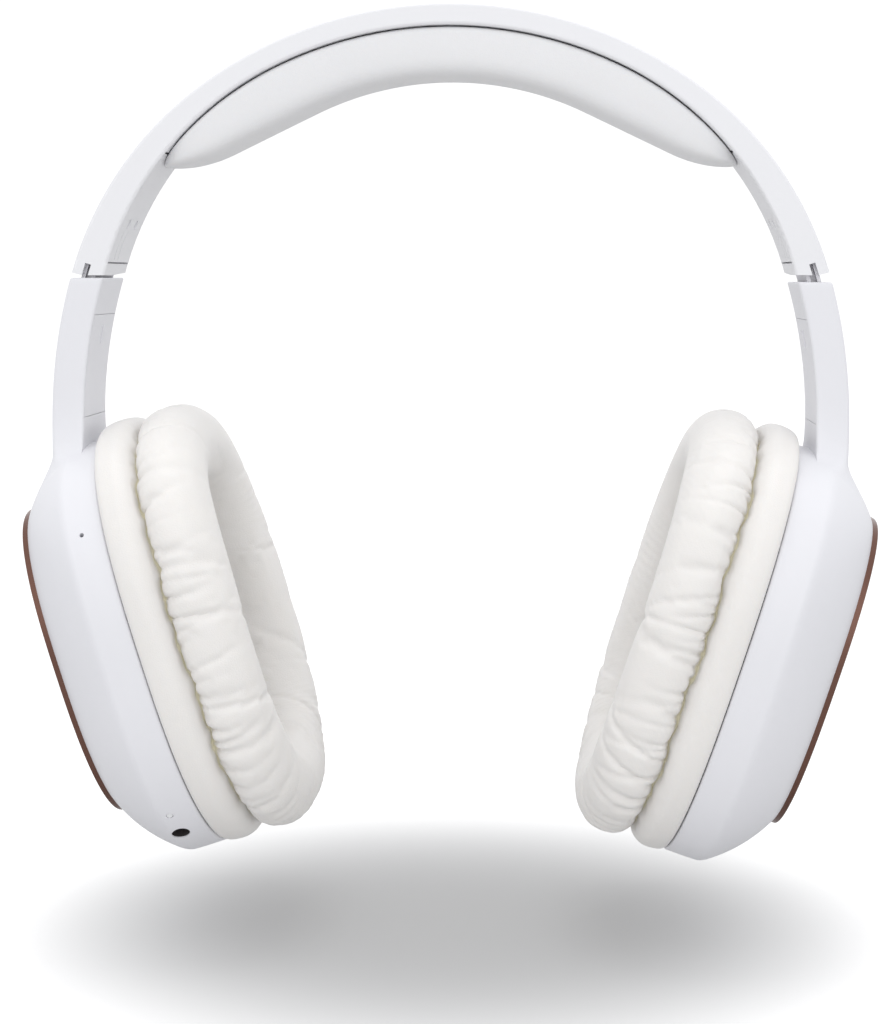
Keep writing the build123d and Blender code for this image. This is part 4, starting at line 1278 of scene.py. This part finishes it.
@dataclass
class EarCushion:
    """A gathered leatherette cushion: a smooth base lobe, a seam and a pleated main lobe.

    Attributes:
        where: The side and place.
        half: Half height and half depth of the widest outline.
        shift: How far the cushion's middle is above the cup's centre.
        knots: The section, as (offset from the outline, outward place) round the tube.
        focus: How densely points lie near each knot.
        seam_row: Which knot is the bottom of the gathered seam.
        pleats: How many pleats are gathered in the seam.
        pleat_depth: How deep they are at the seam.
        crease_depth: How deep the fine tension lines are.
        swell_limit: How far the simulated cloth may move a point.
        cloth_frames: How many frames the cloth is simulated for.
        crease_count: How many sets of fine lines are drawn.
        stitch_pitch: From one stitch on the opening's wall to the next.
        stitch_length: Length of a stitch.
        stitch_width: Width of a stitch.
        stitch_place: Outward place of the row of stitches.
        wall_inset: How far inside the outline the opening's wall lies.
        seed: Makes the pleats the same each time.
    """

    where: CupFrame
    half: tuple[float, float] = (44.9, 36.8)
    shift: float = 1.15
    knots: tuple[tuple[float, float], ...] = (
        (-6.0, -0.1), (-2.4, -0.12), (-0.2, -0.55), (0.45, -2.6), (0.1, -5.2), (-1.5, -7.1),
        (-4.0, -7.9), (-2.0, -8.9), (-0.3, -11.0), (0.0, -13.6), (-1.2, -16.8), (-4.2, -19.5),
        (-8.4, -20.5), (-12.4, -19.7), (-15.6, -17.2), (-17.0, -13.4), (-17.1, -8.0),
        (-16.3, -3.2), (-12.5, -2.6), (-8.0, -2.5),
    )
    focus: tuple[float, ...] = (
        0.5, 1.0, 1.2, 1.2, 1.5, 2.2, 2.6, 2.2, 1.5, 1.2, 1.1, 1.0,
        1.0, 1.0, 1.0, 1.0, 0.9, 0.6, 0.4, 0.4,
    )
    seam_row: int = 6
    pleats: int = 104
    pleat_depth: float = 0.9
    crease_depth: float = 0.05
    swell_limit: float = 1.5
    cloth_frames: int = 20
    crease_count: int = 26
    stitch_pitch: float = 5.0
    stitch_length: float = 1.0
    stitch_width: float = 0.35
    stitch_place: float = -8.6
    wall_inset: float = 15.0
    seed: int = 7

    def outline(self, count: int) -> tuple[Array, Array, float]:
        """The widest outline, its outward normals and its length.

        Args:
            count: Points round the outline.

        Returns:
            The points, the normals and the length.
        """
        points = even_oval(*self.half, np.arange(count) / count)
        normal = closed_normals(points)
        length = np.linalg.norm(np.roll(points, -1, axis=0) - points, axis=1).sum()
        return points + (self.shift, 0.0), normal, float(length)

    def surface(self, rows: int, columns: int) -> tuple[Array, Array, Array]:
        """The plain cushion: the section carried round the outline along its normals.

        Args:
            rows: Points round the section.
            columns: Points round the outline.

        Returns:
            The grid (up, front, out), the section's points, and its distance along the
            section from the seam, positive over the main lobe.
        """
        section = closed_spline(np.array(self.knots), rows, np.array(self.focus))
        points, normal, _ = self.outline(columns)
        flat = points[None] + section[:, None, :1] * normal[None]
        out = np.broadcast_to(section[:, None, 1:], (rows, columns, 1))
        step = np.linalg.norm(np.roll(section, -1, axis=0) - section, axis=1)
        run = np.concatenate([[0.0], np.cumsum(step)[:-1]])
        pinch = np.argmin(np.linalg.norm(section - np.array(self.knots[self.seam_row]), axis=1))
        distance = run - run[pinch]
        return np.concatenate([flat, out], axis=-1), section, distance

    def normals(self, grid: Array) -> Array:
        """Unit normals of a doubly closed grid, pointing out of the tube.

        Args:
            grid: Rows by columns by three.

        Returns:
            The normals, of the same shape.
        """
        along = np.roll(grid, -1, axis=1) - np.roll(grid, 1, axis=1)
        round_it = np.roll(grid, -1, axis=0) - np.roll(grid, 1, axis=0)
        normal = np.cross(along, round_it)
        normal /= np.maximum(np.linalg.norm(normal, axis=-1, keepdims=True), TINY)
        return normal if enclosed_volume(grid) > 0 else -normal

    def gathers(self, distance: Array, columns: int) -> Array:
        """How far each point is pushed out by the pleats.

        A pleat is a furrow that starts at the seam: a Gaussian across the furrow, times a
        fall-off along it, and it drifts to one side as it goes. Between furrows the cover
        puffs out a little. Everything is a function of place along the outline and of
        distance from the seam.

        Args:
            distance: Distance from the seam along the section, for each row.
            columns: Points round the outline.

        Returns:
            The displacement, rows by columns.
        """
        draw = np.random.default_rng(self.seed + (self.where.side is Side.RIGHT) * 11)
        length = self.outline(columns)[2]
        along = np.arange(columns) / columns * length
        count = self.pleats
        spot = (np.arange(count) + draw.uniform(-0.36, 0.36, count)) / count * length
        width = draw.uniform(0.28, 0.72, count)
        run = draw.uniform(2.0, 16.0, count)
        low_side = 0.5 - 0.5 * np.cos(2 * np.pi * spot / length)
        depth = self.pleat_depth * draw.uniform(0.35, 1.0, count) ** 1.6 * (0.7 + 0.5 * low_side)
        run = run * (0.7 + 0.9 * low_side)
        drift = draw.uniform(-0.28, 0.28, count)
        bend = draw.uniform(-0.012, 0.012, count)
        main = np.clip(distance, 0.0, None)[:, None, None]
        centre = spot + drift * main + bend * main**2
        gap = np.mod(along[None, :, None] - centre + length / 2, length) - length / 2
        spread = width * (1.0 + 0.10 * main)
        fade = np.exp(-((main / run) ** 2)) * smooth_step(distance, -0.6, 1.2)[:, None, None]
        furrow = np.sum(depth * np.exp(-((gap / spread) ** 2)) * fade, axis=2)
        puff = 0.42 * np.exp(-(((distance - 3.2) / 2.6) ** 2))[:, None]
        base = np.where(distance < 0, distance, 0.0)[:, None]
        tuck = 0.25 * np.sum(
            depth * np.exp(-(((gap) / (1.3 * width)) ** 2)), axis=2
        ) * np.exp(-((base / 1.3) ** 2)) * (distance < 0)[:, None]
        return puff - furrow - tuck

    def creases(self, distance: Array, columns: int) -> Array:
        """Fine tension lines across the main lobe: short waves that fade in and out.

        Args:
            distance: Distance from the seam along the section, for each row.
            columns: Points round the outline.

        Returns:
            The displacement, rows by columns.
        """
        draw = np.random.default_rng(self.seed + 101 + (self.where.side is Side.RIGHT))
        along = np.arange(columns)[None, :] / columns * 2 * np.pi
        main = distance[:, None]
        total = np.zeros((len(distance), columns))
        for _ in range(self.crease_count):
            waves = int(draw.integers(90, 240))
            slant = draw.uniform(-0.06, 0.06)
            phase = draw.uniform(0.0, 2 * np.pi)
            middle = draw.uniform(0.0, 2 * np.pi)
            patch = np.exp((np.cos(along - middle) - 1.0) * draw.uniform(6.0, 30.0))
            total += draw.uniform(0.3, 1.0) * patch * np.sin(waves * (along + slant * main) + phase)
        over = smooth_step(distance, 1.0, 4.0) * (1 - smooth_step(distance, 22.0, 34.0))
        low_side = 0.45 + 0.55 * (0.5 - 0.5 * np.cos(along))
        return self.crease_depth * total * over[:, None] * low_side

    def simulated(self, rows: int = 44, columns: int = 260) -> Array:
        """Inflates the cover as cloth and returns how far each point moved.

        The seam and the base are pinned, the cover grows a little, and light pressure
        fills it, so it swells between its seams and buckles along them. The base lobe is
        stretched over its ring, so it keeps little of that. A point's movement is limited.

        Args:
            rows: Points round the section.
            columns: Points round the outline.

        Returns:
            The movement in (up, front, out), rows by columns by three, in millimetres.
        """
        grid, section, distance = self.surface(rows, columns)
        start = grid + self.gathers(distance, columns)[..., None] * 0.8 * self.normals(grid)
        piece = torus_mesh(start * MM, "cloth_trial")
        pins = piece.vertex_groups.new(name="pins")
        held = (np.abs(distance) < 0.9) | (section[:, 1] > -3.4)
        numbers = np.arange(rows * columns).reshape(rows, columns)
        pins.add(numbers[held].ravel().tolist(), 1.0, "REPLACE")
        cloth = piece.modifiers.new("cloth", "CLOTH")
        cloth.settings.quality = 5
        cloth.settings.mass = 0.2
        cloth.settings.tension_stiffness = 12
        cloth.settings.compression_stiffness = 12
        cloth.settings.shear_stiffness = 4
        cloth.settings.bending_stiffness = 0.15
        cloth.settings.vertex_group_mass = "pins"
        cloth.settings.shrink_min = -0.02
        cloth.settings.use_pressure = True
        cloth.settings.uniform_pressure_force = 4.0
        cloth.settings.effector_weights.gravity = 0.0
        cloth.collision_settings.use_collision = False
        scene = bpy.context.scene
        for step in range(self.cloth_frames):
            scene.frame_set(step + 1)
        graph = bpy.context.evaluated_depsgraph_get()
        mesh = piece.evaluated_get(graph).to_mesh()
        after = np.empty(rows * columns * 3, np.float32)
        mesh.vertices.foreach_get("co", after)
        piece.evaluated_get(graph).to_mesh_clear()
        bpy.data.objects.remove(piece)
        scene.frame_set(1)
        moved = after.reshape(rows, columns, 3).astype(float) / MM - start
        size = np.linalg.norm(moved, axis=-1, keepdims=True)
        log.info(
            "cloth on %s cushion: middle %.2f mm, most %.2f mm",
            self.where.side.value, float(np.median(size)), float(size.max()),
        )
        slack = 0.12 + 0.58 * smooth_step(distance, 0.0, 4.0)[:, None, None]
        return slack * moved * np.minimum(1.0, self.swell_limit / np.maximum(size, TINY))

    def build(self, rows: int = 132, columns: int = 640) -> bpy.types.Object:
        """Builds the cushion with its simulated swell, pleats and creases.

        Args:
            rows: Points round the section.
            columns: Points round the outline.

        Returns:
            The cushion's object.
        """
        grid, section, distance = self.surface(rows, columns)
        swell = self.simulated()
        grid = grid + self._resampled(swell, rows, columns)
        push = self.gathers(distance, columns) + self.creases(distance, columns)
        waver = self._waver(distance, columns)
        grid = grid + push[..., None] * self.normals(grid)
        grid[..., 2] += waver
        piece = torus_mesh(self.where.place(grid), self.where.side.named("cushion_cover"))
        # Seam mark: the seam's own darker colour, made stronger where the pleats fold deepest, which paints
        # shade into the gathered folds.
        seam = np.exp(-((distance / 0.55) ** 2))[:, None] * np.ones((1, columns))
        seam = np.clip(seam * (0.75 + 0.5 * np.abs(push) / self.pleat_depth), 0.0, 1.0)
        stitches = self._stitches(section, columns)
        tag(piece, "seam", np.clip(seam + stitches, 0.0, 1.0))
        return piece

    @staticmethod
    def _resampled(coarse: Array, rows: int, columns: int) -> Array:
        """Carries a coarse grid's movement to a finer grid, straight between its points.

        Args:
            coarse: The movement on the coarse grid.
            rows: Rows of the finer grid.
            columns: Columns of the finer grid.

        Returns:
            The movement on the finer grid.
        """
        held, count = coarse.shape[:2]
        row = np.arange(rows) / rows * held
        low = np.floor(row).astype(int)
        part = (row - low)[:, None, None]
        tall = coarse[low % held] * (1 - part) + coarse[(low + 1) % held] * part
        column = np.arange(columns) / columns * count
        left = np.floor(column).astype(int)
        part = (column - left)[None, :, None]
        return tall[:, left % count] * (1 - part) + tall[:, (left + 1) % count] * part

    def _waver(self, distance: Array, columns: int) -> Array:
        """The seam's wander towards and away from the cup: a few slow sines near the seam.

        Args:
            distance: Distance from the seam along the section, for each row.
            columns: Points round the outline.

        Returns:
            The movement outward, rows by columns.
        """
        along = np.arange(columns) / columns * 2 * np.pi
        sway = 0.28 * np.sin(9 * along + 0.7) + 0.22 * np.sin(23 * along + 2.1)
        sway += 0.16 * np.sin(47 * along + 4.4)
        return np.exp(-((distance / 2.2) ** 2))[:, None] * sway[None]

    def _stitches(self, section: Array, columns: int) -> Array:
        """Marks of a line of stitches on the opening's wall: a short bar, then a gap.

        Args:
            section: The section's points.
            columns: Points round the outline.

        Returns:
            The strength of the mark, rows by columns.
        """
        length = self.outline(columns)[2]
        along = np.arange(columns) / columns * length
        bar = (np.mod(along, self.stitch_pitch) < self.stitch_length).astype(float)
        over = section[:, 1] - self.stitch_place
        row = np.exp(-((over / self.stitch_width) ** 2)) * (section[:, 0] < -self.wall_inset)
        return 0.55 * row[:, None] * bar[None]


# ---------------------------------------------------------------- head pad


@dataclass
class HeadPad:
    """The padded strip under the headband's crown.

    Attributes:
        crown_radius: Headband's inner arc over the head.
        crown_centre: Height of that arc's centre.
        side_radius: Headband's inner arc at the side.
        side_centre: Centre (x, z) of that arc.
        side_turn: Degrees from the top to where the side arc starts.
        under_radius: The pad's underside over the crown.
        flank_turn: Degrees from the top to its straight flank.
        flank: Length of that flank.
        tail_radius: Reverse curve of the tail.
        tail_turn: Degrees that the tail turns back.
        reach: Half width over the pad.
        depth: Front to rear.
        gap: Clearance to the headband.
    """

    crown_radius: float = 80.7
    crown_centre: float = -70.7
    side_radius: float = 65.4
    side_centre: tuple[float, float] = (6.47, -56.83)
    side_turn: float = 25.0
    under_radius: float = 64.0
    flank_turn: float = 25.5
    flank: float = 19.4
    tail_radius: float = 30.0
    tail_turn: float = 17.5
    reach: float = 58.3
    depth: float = 20.0
    gap: float = 0.06

    def roof(self, count: int) -> Array:
        """Points along the headband's inner face, from the crown to the pad's end.

        Args:
            count: How many points are wanted.

        Returns:
            The (x, z) points.
        """
        radius = self.side_radius - self.gap
        end = math.asin((self.reach - self.side_centre[0]) / radius)
        first = np.radians(np.linspace(0.0, self.side_turn, 200))
        second = np.linspace(math.radians(self.side_turn), end, 200)[1:]
        crown = self.crown_radius - self.gap
        arc = np.stack([crown * np.sin(first), self.crown_centre + crown * np.cos(first)], -1)
        side = np.stack(
            [self.side_centre[0] + radius * np.sin(second),
             self.side_centre[1] + radius * np.cos(second)], -1,
        )
        return even_points(np.vstack([arc, side]), count)

    def belly(self, count: int) -> Array:
        """Points along the pad's underside: crown arc, straight flank, reverse tail.

        Args:
            count: How many points are wanted.

        Returns:
            The (x, z) points.
        """
        turn = math.radians(self.flank_turn)
        angle = np.linspace(0.0, turn, 200)
        radius = self.under_radius
        crown = np.stack([radius * np.sin(angle), -radius + radius * np.cos(angle)], -1)
        heading = np.array((math.cos(turn), -math.sin(turn)))
        flank = crown[-1] + heading * np.linspace(0.0, self.flank, 60)[1:, None]
        centre = flank[-1] + self.tail_radius * np.array((math.sin(turn), math.cos(turn)))
        sweep = np.linspace(turn, turn - math.radians(self.tail_turn), 80)[1:]
        tail = centre - self.tail_radius * np.stack([np.sin(sweep), np.cos(sweep)], -1)
        last = self.roof(2)[-1]
        line = np.vstack([crown, flank, tail])
        keep = line[:, 0] < last[0] - 0.4
        corner = np.array([[last[0] + 0.3, line[keep][-1, 1] - 0.5]])
        tip = bezier_rows(line[keep][-1:], corner, last[None], 24)
        return even_points(np.vstack([line[keep], tip[1:, 0]]), count)

    def build(self, stations: int = 150, around: int = 64) -> bpy.types.Object:
        """Builds the pad: a rounded section carried from end to end.

        The section is a superellipse in two parts. Its upper half is flat against the
        headband, and its lower half bulges. Its depth closes in at the ends along a
        superellipse in the distance from the crown.

        Args:
            stations: Sections along half of the pad.
            around: Points round a section.

        Returns:
            The pad's object.
        """
        roof, belly = self.roof(stations), self.belly(stations)
        roof = np.vstack([roof[::-1] * (-1.0, 1.0), roof[1:]])
        belly = np.vstack([belly[::-1] * (-1.0, 1.0), belly[1:]])
        share = np.linspace(-1.0, 1.0, len(roof))
        plan = (1.0 - np.abs(share) ** 18) ** 0.5
        angle = np.linspace(0.0, 2 * np.pi, around, endpoint=False)
        power = np.where(np.sin(angle) > 0, 2 / 14.0, 2 / 3.4)
        side = np.sign(np.cos(angle)) * np.abs(np.cos(angle)) ** (2 / 5.5)
        rise = np.sign(np.sin(angle)) * np.abs(np.sin(angle)) ** power
        level = (1.0 + rise) / 2
        tuck = 1.0 - 0.02 * np.exp(-(((level - 1.0) / 0.1) ** 2))
        across = self.depth / 2 * plan[:, None] * (side * tuck)[None]
        core = belly[:, None] * (1 - level)[None, :, None] + roof[:, None] * level[None, :, None]
        grid = np.stack([core[..., 0], across, core[..., 1]], axis=-1) * MM
        shell = Shell()
        shell.grid(grid, ring=True)
        shell.cap(grid[0])
        shell.cap(grid[-1])
        return shell.build("pad_cover")


def even_points(line: Array, count: int) -> Array:
    """Points at even distances along an open line.

    Args:
        line: Points of an open line.
        count: How many points are wanted.

    Returns:
        The points, both ends kept.
    """
    step = np.linalg.norm(np.diff(line, axis=0), axis=1)
    length = np.concatenate([[0.0], np.cumsum(step)])
    where = np.linspace(0.0, length[-1], count)
    return np.stack([np.interp(where, length, line[:, k]) for k in (0, 1)], axis=-1)


# ---------------------------------------------------------------- driver cloth


@dataclass
class DriverCloth:
    """The thin cloth over a driver, inside the cushion's opening, flat but for a faint wave.

    Attributes:
        where: The side and place.
        half: Half height and half depth.
        place: Outward place of the cloth's outer face.
        thickness: Thickness of the cloth.
        sag: How far its middle lies towards the driver.
    """

    where: CupFrame
    half: tuple[float, float] = (34.9, 27.4)
    place: float = -1.75
    thickness: float = 0.35
    sag: float = 0.0

    def build(self, rings: int = 24, columns: int = 160) -> bpy.types.Object:
        """Builds both faces: rings of the oval, with a wave as faint as stretched cloth.

        Args:
            rings: Rings from the middle to the edge.
            columns: Points round a ring.

        Returns:
            The cloth's object.
        """
        share = np.arange(columns) / columns
        oval = even_oval(*self.half, share)
        scale = np.linspace(0.0, 1.0, rings)[:, None]
        up, front = scale * oval[:, 0], scale * oval[:, 1]
        ripple = 0.04 * np.sin(6 * 2 * np.pi * share)[None] * scale**2 * (1 - scale)
        shell = Shell()
        face = np.stack([up, front, self.place + ripple + self.sag * (1 - scale**2) * np.ones_like(up)], -1)
        back = face + (0.0, 0.0, self.thickness)
        shell.grid(self.where.place(face), ring=True)
        shell.grid(self.where.place(back), ring=True)
        shell.grid(self.where.place(np.stack([face[-1], back[-1]])), ring=True)
        return shell.build(self.where.side.named("driver_cloth"))


# ---------------------------------------------------------------- the whole


class CarriedNodes:
    """The CAD nodes that keep their shape and only get a finish."""

    TABLE = {
        "headband_shell": "band_plastic",
        "inner_cover": "band_plastic",
        "slider_tongue": "tongue_plastic",
        "arm_cover": "housing_plastic",
        "disc_ring": "ring_metal",
        "disc_cap": "cap_plastic",
        "headband_spring_strip": "spring_steel",
        "slide_spring": "spring_steel",
        "tongue_screws": "screw_steel",
        "cup_screws": "screw_steel",
        "driver_basket": "basket_steel",
        "driver_magnet": "magnet_iron",
        "driver_diaphragm": "diaphragm_film",
        "baffle_plate": "inner_plastic",
        "cushion_carrier": "inner_plastic",
        "pad_base": "band_plastic",
        "main_board": "board_laminate",
        "button_board": "board_laminate",
        "battery": "battery_wrap",
        "audio_socket": "socket_plastic",
        "charging_socket": "socket_steel",
        "status_light": "light_pipe",
        "microphone": "socket_plastic",
        "button": "button_plastic",
        "speaker_cloth": "speaker_cloth",
        "cup_housing": "housing_plastic",
        "head_pad": "pad_leatherette",
        "ear_cushion": "cushion_leatherette",
    }

    def dress(self, finishes: Finishes) -> None:
        """Gives every CAD node the finish whose stem its name starts with.

        Args:
            finishes: Every finish, already made.
        """
        for name, node in frame["nodes"].items():
            stems = [stem for stem in self.TABLE if name.startswith(stem)]
            finishes.dress(node, self.TABLE[max(stems, key=len)])
        log.info("dressed %d CAD nodes", len(frame["nodes"]))


@dataclass
class Studio:
    """Camera, lights and floor.

    Attributes:
        target: What the camera looks at, in millimetres.
        distance: From the target to the camera.
        azimuth: Degrees that the camera stands round from the front, towards +X.
        elevation: Degrees above the horizon.
        lens: Focal length on a 36 mm sensor.
        floor: Height of the floor.
        room: Brightness of the room's light.
        key: Power of the soft box overhead, in watts.
        fill: Power of the soft box in front.
        paper: How pale the floor's paper is where the camera sees it; kept dim, so it shows as a painted
            shadow where the glow is absent.
        glow: How much that paper glows away from the object: painted light, which leaves the dim middle as
            a painted shadow.
        painted_shadow_inner: Distance from the object's middle where the glow starts; inside it the painted
            shadow is darkest.
        painted_shadow_outer: Distance where the glow is full, the outer edge of the painted shadow.
        bounce: How much light the floor returns to the object.
    """

    target: tuple[float, float, float] = (-0.5, 0.0, -88.4)
    distance: float = 430.0
    azimuth: float = 3.2
    elevation: float = 6.5
    lens: float = 72.56
    floor: float = -176.0
    room: float = 1.05
    key: float = 0.5
    fill: float = 0.93
    paper: float = 0.5
    glow: float = 0.62
    painted_shadow_inner: float = 15.0
    painted_shadow_outer: float = 104.0
    bounce: float = 0.6

    def camera(self) -> None:
        """Makes the camera, without shift or depth of field."""
        turn, rise = math.radians(self.azimuth), math.radians(self.elevation)
        back = Vector((math.sin(turn) * math.cos(rise), -math.cos(turn) * math.cos(rise), math.sin(rise)))
        data = bpy.data.cameras.new("camera")
        data.lens = self.lens
        data.sensor_width = 36.0
        data.clip_start = 0.01
        data.clip_end = 20.0
        camera = bpy.data.objects.new("camera", data)
        camera.location = (Vector(self.target) + back * self.distance) * MM
        camera.rotation_euler = (-back).to_track_quat("-Z", "Y").to_euler()
        bpy.context.scene.collection.objects.link(camera)
        bpy.context.scene.camera = camera

    def lamp(self, name: str, place: Point, size: tuple[float, float], power: float, aim: Point) -> None:
        """One soft rectangular light.

        Args:
            name: The light's name.
            place: Where it is, in millimetres.
            size: Its width and height, in millimetres.
            power: Its power in watts.
            aim: The point it faces, in millimetres.
        """
        data = bpy.data.lights.new(name, "AREA")
        data.shape = "RECTANGLE"
        data.size, data.size_y = size[0] * MM, size[1] * MM
        data.energy = power
        light = bpy.data.objects.new(name, data)
        light.location = Vector(place) * MM
        light.rotation_euler = (Vector(aim) - Vector(place)).to_track_quat("-Z", "Y").to_euler()
        bpy.context.scene.collection.objects.link(light)

    def light(self) -> None:
        """A bright pale room with one soft box overhead and one in front."""
        world = bpy.data.worlds.new("studio")
        world.use_nodes = True
        nodes, links = world.node_tree.nodes, world.node_tree.links
        room = nodes["Background"]
        room.inputs["Color"].default_value = (0.98, 0.985, 1.0, 1.0)
        room.inputs["Strength"].default_value = self.room
        backdrop = nodes.new("ShaderNodeBackground")
        backdrop.inputs["Color"].default_value = (1.0, 1.0, 1.0, 1.0)
        backdrop.inputs["Strength"].default_value = 1.1
        seen = nodes.new("ShaderNodeMixShader")
        links.new(nodes.new("ShaderNodeLightPath").outputs["Is Camera Ray"], seen.inputs["Fac"])
        links.new(room.outputs["Background"], seen.inputs[1])
        links.new(backdrop.outputs["Background"], seen.inputs[2])
        links.new(seen.outputs["Shader"], nodes["World Output"].inputs["Surface"])
        bpy.context.scene.world = world
        self.lamp("overhead", (0.0, 20.0, 460.0), (300.0, 220.0), self.key, (0.0, 10.0, -150.0))
        self.lamp("front", (0.0, -700.0, 160.0), (600.0, 500.0), self.fill, (0.0, 0.0, -90.0))
        bpy.context.scene.view_settings.view_transform = "Standard"
        bpy.context.scene.view_settings.look = "None"

    def ground(self) -> None:
        """A pale floor with a painted shadow: dim paper under the object that glows white round it, as the
        camera sees it.
        """
        mesh = bpy.data.meshes.new("floor")
        half = 3.0
        corners = [(-half, -half), (half, -half), (half, half), (-half, half)]
        mesh.from_pydata([(x, y, self.floor * MM) for x, y in corners], [], [(0, 1, 2, 3)])
        floor = bpy.data.objects.new("floor", mesh)
        bpy.context.scene.collection.objects.link(floor)
        material = bpy.data.materials.new("floor_painted_shadow")
        material.use_nodes = True
        nodes, links = material.node_tree.nodes, material.node_tree.links
        shader = nodes["Principled BSDF"]
        shader.inputs["Base Color"].default_value = (self.paper, self.paper, self.paper, 1.0)
        shader.inputs["Roughness"].default_value = 0.9
        shader.inputs["Specular IOR Level"].default_value = 0.1
        shader.inputs["Emission Color"].default_value = (1.0, 1.0, 1.0, 1.0)
        # Painted shadow: the floor's emission is zero near the object and rises to full further out, so the
        # dark patch under the object is painted rather than cast.
        reach = nodes.new("ShaderNodeVectorMath")
        reach.operation = "LENGTH"
        links.new(nodes.new("ShaderNodeTexCoord").outputs["Object"], reach.inputs[0])
        rise = nodes.new("ShaderNodeMapRange")
        rise.interpolation_type = "SMOOTHSTEP"
        centre_drop = abs(self.floor) * MM
        rise.inputs["From Min"].default_value = math.hypot(self.painted_shadow_inner * MM, centre_drop)
        rise.inputs["From Max"].default_value = math.hypot(self.painted_shadow_outer * MM, centre_drop)
        rise.inputs["To Max"].default_value = self.glow
        links.new(reach.outputs["Value"], rise.inputs["Value"])
        links.new(rise.outputs["Result"], shader.inputs["Emission Strength"])
        # Camera rays see the paper with its painted shadow; every other ray sees a plain dim diffuse floor,
        # which sets the bounce onto the object.
        dim = nodes.new("ShaderNodeBsdfDiffuse")
        dim.inputs["Color"].default_value = (self.bounce, self.bounce, self.bounce, 1.0)
        seen = nodes.new("ShaderNodeMixShader")
        links.new(nodes.new("ShaderNodeLightPath").outputs["Is Camera Ray"], seen.inputs["Fac"])
        links.new(dim.outputs["BSDF"], seen.inputs[1])
        links.new(shader.outputs["BSDF"], seen.inputs[2])
        links.new(seen.outputs["Shader"], nodes["Material Output"].inputs["Surface"])
        mesh.materials.append(material)


def write_sizes() -> None:
    """Brings the view layer up to date.
    """
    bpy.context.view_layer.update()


def main() -> None:
    """Builds every piece, dresses it and puts it on its body."""
    logging.basicConfig(level=logging.INFO, format="%(name)s: %(message)s")
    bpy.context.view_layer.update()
    finishes = Finishes()
    studio = Studio()
    studio.camera()
    studio.light()
    studio.ground()
    CarriedNodes().dress(finishes)

    pad = HeadPad().build()
    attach(pad, "headband")
    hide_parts("head_pad")
    finishes.dress(pad, "pad_leatherette")
    log.info("head pad: %d faces", len(pad.data.polygons))

    for side in Side:
        where = CupFrame(side)
        housing = CupHousing(where).build()
        carve(housing, HousingOpenings(where).cutters())
        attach(housing, side.body)
        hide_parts(side.named("cup_housing"))
        finishes.dress(housing, "housing_plastic")
        log.info("%s housing: %d faces", side.value, len(housing.data.polygons))

        cushion = EarCushion(where).build()
        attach(cushion, side.body)
        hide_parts(side.named("ear_cushion"))
        finishes.dress(cushion, "cushion_leatherette")
        log.info("%s cushion: %d faces", side.value, len(cushion.data.polygons))

        cloth = DriverCloth(where).build()
        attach(cloth, side.body)
        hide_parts(side.named("speaker_cloth"))
        finishes.dress(cloth, "speaker_cloth")
        log.info("%s driver cloth: %d faces", side.value, len(cloth.data.polygons))

    write_sizes()


if __name__ == "__main__":
    main()
